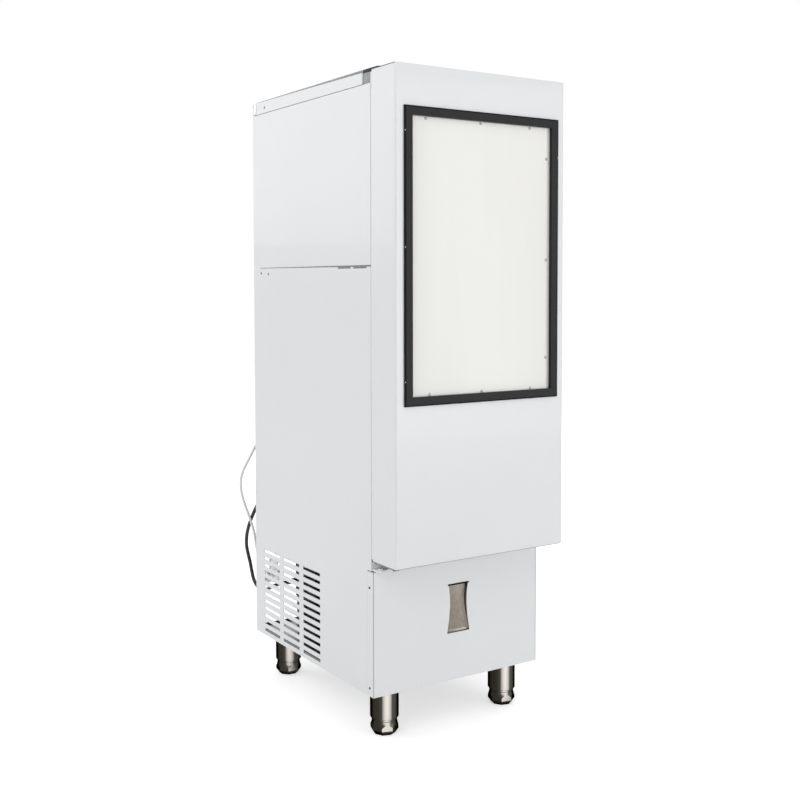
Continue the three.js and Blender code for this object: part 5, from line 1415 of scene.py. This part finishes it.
@dataclass
class Feet(Trim):
    """The four steel feet, each a round neck over an eight-sided grip.

    The levels are heights above the floor, from the foot's tread upwards. The
    grip is eight-sided and is cut by a round profile, which starts blank times
    as wide as the grip and narrows to the neck.
    """

    turns: tuple[tuple[str, float], ...] = (
        ("front_left", 3.3), ("front_right", 9.5), ("rear_left", 17.8), ("rear_right", 31.0),
    )
    tread: float = 0.0215
    grip: float = 0.0283
    grip_sides: int = 8
    neck: float = 0.0252
    groove: float = 0.0249
    collar: float = 0.0257
    stem: float = 0.0262
    chamfer_level: float = 0.0095
    flare_level: float = 0.0145
    neck_level: float = 0.0260
    groove_level: float = 0.0276
    groove_end: float = 0.0285
    collar_end: float = 0.0335
    stem_level: float = 0.0347
    stem_end: float = 0.0675
    step: float = 0.0003
    blank: float = 1.2
    flare_play: float = 0.0004
    flare_middle: float = 0.0012
    play: float = 0.001
    overlap: float = 0.0002
    edge: float = 0.0004
    edge_angle: float = 24.0
    sleeve: float = 0.0286
    sleeve_bore: float = 0.0273
    sleeve_low: float = 0.0335
    sleeve_high: float = 0.0918
    sleeve_round: float = 0.0006
    sleeve_sides: int = 72
    sleeve_angle: float = 30.0
    bore_sides: int = 48
    neck_sides: int = 64
    upper_sides: int = 32

    def build(self) -> None:
        """Makes the four feet, each on its own body, and the tubes over them, all with painted
        highlights.
        """
        for corner, turn in self.turns:
            foot = self.foot()
            foot.matrix_world = placed(under(f"leg_{corner}"), UP, math.radians(turn))
            self.bench.settle(foot)
            self.bench.finish(foot, f"{corner}_foot_steel", "stainless_tube", f"{corner}_foot")
            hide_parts(f"foot_{corner}")
        self.leg_sleeves()

    def leg_sleeves(self) -> None:
        """Makes the smooth drawn tubes that clothe the four legs, with painted highlights and
        painted dark reflections.
        """
        radius, low, high = self.sleeve, self.sleeve_low, self.sleeve_high
        small = self.sleeve_round
        profile = [(radius - small, low), (radius, low + small), (radius, high)]
        sleeve = self.bench.lathe(profile, ORIGIN, self.sleeve_sides)
        bore = [(self.sleeve_bore, 0.0), (self.sleeve_bore, high + BEYOND)]
        self.bench.cut(sleeve, self.bench.lathe(bore, ORIGIN, self.bore_sides))
        moves = [placed(under(f"leg_{corner}")) for corner, _ in self.turns]
        sleeves = self.bench.copies(sleeve, moves)
        self.bench.smooth(self.sleeve_angle)
        self.finish(sleeves, "leg_sleeves", "stainless_tube")

    def foot(self) -> Piece:
        """Models one foot at the origin.

        Returns:
            The foot, with its tread on the floor.
        """
        corner = self.blank * self.grip
        profile = [
            (corner, -self.play),
            (corner, 0.0),
            (self.grip + self.flare_play, self.flare_level),
            (self.neck + self.flare_middle, 0.5 * (self.flare_level + self.neck_level)),
            (self.neck, self.neck_level),
            (self.neck, self.groove_level),
            (self.groove, self.groove_level + self.step),
            (self.groove, self.groove_end),
            (self.collar, self.groove_end + self.step),
            (self.collar, self.collar_end),
            (self.stem, self.stem_level),
            (self.stem, self.stem_end),
        ]
        sides = [(self.tread, 0.0), (self.grip, self.chamfer_level), (self.grip, self.neck_level)]
        grip = self.bench.lathe(sides, ORIGIN, self.grip_sides)
        flared = self.bench.lathe(profile, ORIGIN, self.neck_sides)
        low, high = self.neck_level - self.overlap, self.stem_end + self.play
        upper = [(self.grip, low), (self.grip, high)]
        self.bench.cut(grip, self.bench.lathe(upper, ORIGIN, self.upper_sides), Way.JOINED)
        self.bench.cut(grip, flared, Way.SHARED)
        self.bench.round_edges(grip, self.edge, segments=2, angle=self.edge_angle)
        return grip


# Pull


@dataclass
class PullDish(Trim):
    """The drawer's pull: a soft pressed dish behind the hourglass opening.

    The outline gives half the opening's width at each height.
    """

    body: str = "drawer"
    face: float = -0.2104
    front: float = -0.225
    floor: float = -0.2065
    room: float = 0.03
    rows: int = 18
    round: float = 0.0075
    round_faces: int = 7
    tilt: float = 4.2
    sheet: float = 0.001
    smooth_angle: float = 35.0
    outline: Pairs = (
        (0.1845, 0.0296), (0.2050, 0.0250), (0.2300, 0.0207), (0.2476, 0.0192),
        (0.2650, 0.0206), (0.2850, 0.0256), (0.2925, 0.0268),
    )
    # A dark strip over the pull's mouth; its dark partly paints the shade of the slot above the
    # dish.
    edging: Plate = Plate((-0.0256, -0.2128, 0.2832), (0.0256, -0.2085, 0.2864), 0.0005)

    def build(self) -> None:
        """Makes the dish and the dark edging over its mouth, which also paints the shade in the
        slot above the dish.
        """
        low, high, half = self.outline[0][0], self.outline[-1][0], self.outline[0][1]
        room_low = (-half - self.room, self.front - self.room, low - self.room)
        room_high = (half + self.room, self.face, high + self.room)
        dish = self.hollow(self.sheet)
        self.bench.cut(dish, self.bench.block(room_low, room_high))
        self.bench.cut(dish, self.hollow(0.0))
        self.bench.smooth(self.smooth_angle)
        self.finish(dish, "drawer_pull_dish", "stainless")
        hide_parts("drawer_pull")
        self.plate("drawer_pull_edging_and_painted_shade", "black_rubber_matt", self.edging)

    def half(self, z: float) -> float:
        """Works out half the outline's width at a height.

        Args:
            z: the height.

        Returns:
            The half width.
        """
        for (below, first), (above, last) in zip(self.outline, self.outline[1:]):
            if z <= above + NEAR:
                return first + (last - first) * (z - below) / (above - below)
        return self.outline[-1][1]

    def hollow(self, by: float) -> Piece:
        """Shapes the dish's inside, grown all round by a sheet's thickness.

        Args:
            by: how much it is grown.

        Returns:
            The closed hourglass shape, with its back edges rounded.
        """
        (low, half), high = self.outline[0], self.outline[-1][0]
        self.bench.take()
        bpy.ops.mesh.primitive_grid_add(
            x_subdivisions=1,
            y_subdivisions=self.rows,
            size=1.0,
            location=(0.0, self.front, 0.5 * (low + high)),
            rotation=(0.5 * math.pi, 0.0, 0.0),
        )
        made = bpy.context.object
        made.scale = (2.0 * (half + by), high - low + 2.0 * by, 1.0)
        self.bench.settle(made)
        bpy.ops.object.mode_set(mode="EDIT")
        self.shape_rows(by)
        bpy.ops.mesh.select_all(action="SELECT")
        depth = {"value": (0.0, self.floor + by - self.front, 0.0)}
        bpy.ops.mesh.extrude_region_move(TRANSFORM_OT_translate=depth)
        bpy.ops.mesh.select_all(action="SELECT")
        bpy.ops.mesh.normals_make_consistent(inside=False)
        self.round_floor()
        self.tilt_floor()
        bpy.ops.object.mode_set(mode="OBJECT")
        return made

    def shape_rows(self, by: float) -> None:
        """Narrows each row of the plate to the hourglass outline.

        Args:
            by: how much the outline is grown.
        """
        mesh = bpy.context.object.data
        heights = sorted({round(v.co.z, 5) for v in bmesh.from_edit_mesh(mesh).verts})
        for z in heights:
            bpy.ops.mesh.select_all(action="DESELECT")
            for vertex in bmesh.from_edit_mesh(mesh).verts:
                vertex.select = abs(vertex.co.z - z) < NEAR
            bmesh.update_edit_mesh(mesh)
            share = (self.half(z) + by) / (self.outline[0][1] + by)
            middle = (0.0, self.front, z)
            bpy.ops.transform.resize(value=(share, 1.0, 1.0), center_override=middle)

    def round_floor(self) -> None:
        """Rounds the edge between the dish's floor and its walls."""
        mesh = bpy.context.object.data
        work = bmesh.from_edit_mesh(mesh)
        back = max(v.co.y for v in work.verts)
        bpy.ops.mesh.select_all(action="DESELECT")
        bpy.ops.mesh.select_mode(type="EDGE")
        for edge in work.edges:
            rear = all(abs(v.co.y - back) < NEAR for v in edge.verts)
            wall = any(abs(face.normal.y) < 0.5 for face in edge.link_faces)
            edge.select = rear and wall
        bmesh.update_edit_mesh(mesh)
        bpy.ops.mesh.bevel(offset=self.round, segments=self.round_faces, affect="EDGES")

    def tilt_floor(self) -> None:
        """Tilts the whole back of the shape, so the dish is deep at its top."""
        mesh = bpy.context.object.data
        bpy.ops.mesh.select_mode(type="VERT")
        bpy.ops.mesh.select_all(action="DESELECT")
        for vertex in bmesh.from_edit_mesh(mesh).verts:
            vertex.select = vertex.co.y > self.front + NEAR
        bmesh.update_edit_mesh(mesh)
        bpy.ops.transform.rotate(
            value=math.radians(self.tilt),
            orient_axis="X",
            center_override=(0.0, self.floor, self.outline[0][0]),
        )


# Compressor


@dataclass
class CompressorShell(Trim):
    """The compressor's drawn steel can, its weld lip and its terminal cover."""

    radius: float = 0.0623
    low: float = 0.1171
    high: float = 0.2678
    skirt: float = 0.014
    dome_extra: float = 0.0004
    dome_steps: int = 10
    weld_z: float = 0.2040
    weld_radius: float = 0.0642
    weld_half: float = 0.0024
    weld_slope: float = 0.0012
    weld_crown: float = 0.0004
    weld_sink: float = 0.001
    sides: int = 72
    cover_half: float = 0.024
    cover_depth: float = 0.024
    cover_sink: float = 0.006
    cover_low: float = 0.150
    cover_high: float = 0.194
    cover_round: float = 0.003
    clip_z: float = 0.172
    clip_radius: float = 0.001
    clip_half: Pairs = (
        (0.0262, -0.004), (0.0262, 0.0252), (0.0240, 0.0262),
    )

    def build(self) -> None:
        """Makes the can and what is fixed to it."""
        self.can()
        self.weld()
        self.terminal_cover()

    def turned(self, profile: Profile, name: str) -> None:
        """Spins a profile round the frame's compressor and finishes it."""
        made = self.bench.lathe(profile, under("compressor"), self.sides)
        self.finish(made, name, "black_steel")

    def can(self) -> None:
        """Makes the smooth can round the frame's plainer one."""
        rise = 0.5 * self.radius + self.dome_extra
        shoulder = self.high - rise
        profile = [(self.radius - self.skirt, self.low), (self.radius, self.low + self.skirt)]
        for step in range(self.dome_steps + 1):
            angle = 0.5 * math.pi * step / (self.dome_steps + 1)
            profile.append((self.radius * math.cos(angle), shoulder + rise * math.sin(angle)))
        self.turned(profile, "compressor_can")

    def weld(self) -> None:
        """Makes the lip where the can's two halves are welded."""
        inside, half = self.radius - self.weld_sink, self.weld_half
        profile = [
            (inside, self.weld_z - half - self.weld_slope),
            (self.weld_radius, self.weld_z - half),
            (self.weld_radius + self.weld_crown, self.weld_z),
            (self.weld_radius, self.weld_z + half),
            (inside, self.weld_z + half + self.weld_slope),
        ]
        self.turned(profile, "compressor_weld_lip")

    def terminal_cover(self) -> None:
        """Makes the plastic cover over the terminals, with its spring clip."""
        x, y, _ = under("compressor")
        near = y + self.radius - self.cover_sink
        low = (x - self.cover_half, near, self.cover_low)
        high = (x + self.cover_half, near + self.cover_depth, self.cover_high)
        cover = self.bench.block(low, high, self.cover_round, segments=3)
        self.finish(cover, "compressor_terminal_cover", "black_plastic")
        path = [(x - wide, near + deep, self.clip_z) for wide, deep in self.clip_half]
        path += [(x + wide, near + deep, self.clip_z) for wide, deep in reversed(self.clip_half)]
        self.line("compressor_cover_clip", "tinned", path, self.clip_radius)


def main() -> None:
    """Dresses the frame."""
    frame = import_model()
    paints = Paintbox(FINISHES)
    paints.repaint(frame["nodes"])
    bench = Bench(paints)
    Camera().build()
    Studio().build()
    Cords(bench).build()
    WindowTrim(bench).build()
    DoorTrim(bench).build()
    HingePlates(bench).build()
    CabinetTrim(bench).build()
    DrawerTrim(bench).build()
    Feet(bench).build()
    PullDish(bench).build()
    CompressorShell(bench).build()


if __name__ == "__main__":
    logging.basicConfig(level=logging.INFO, format="%(message)s")
    main()
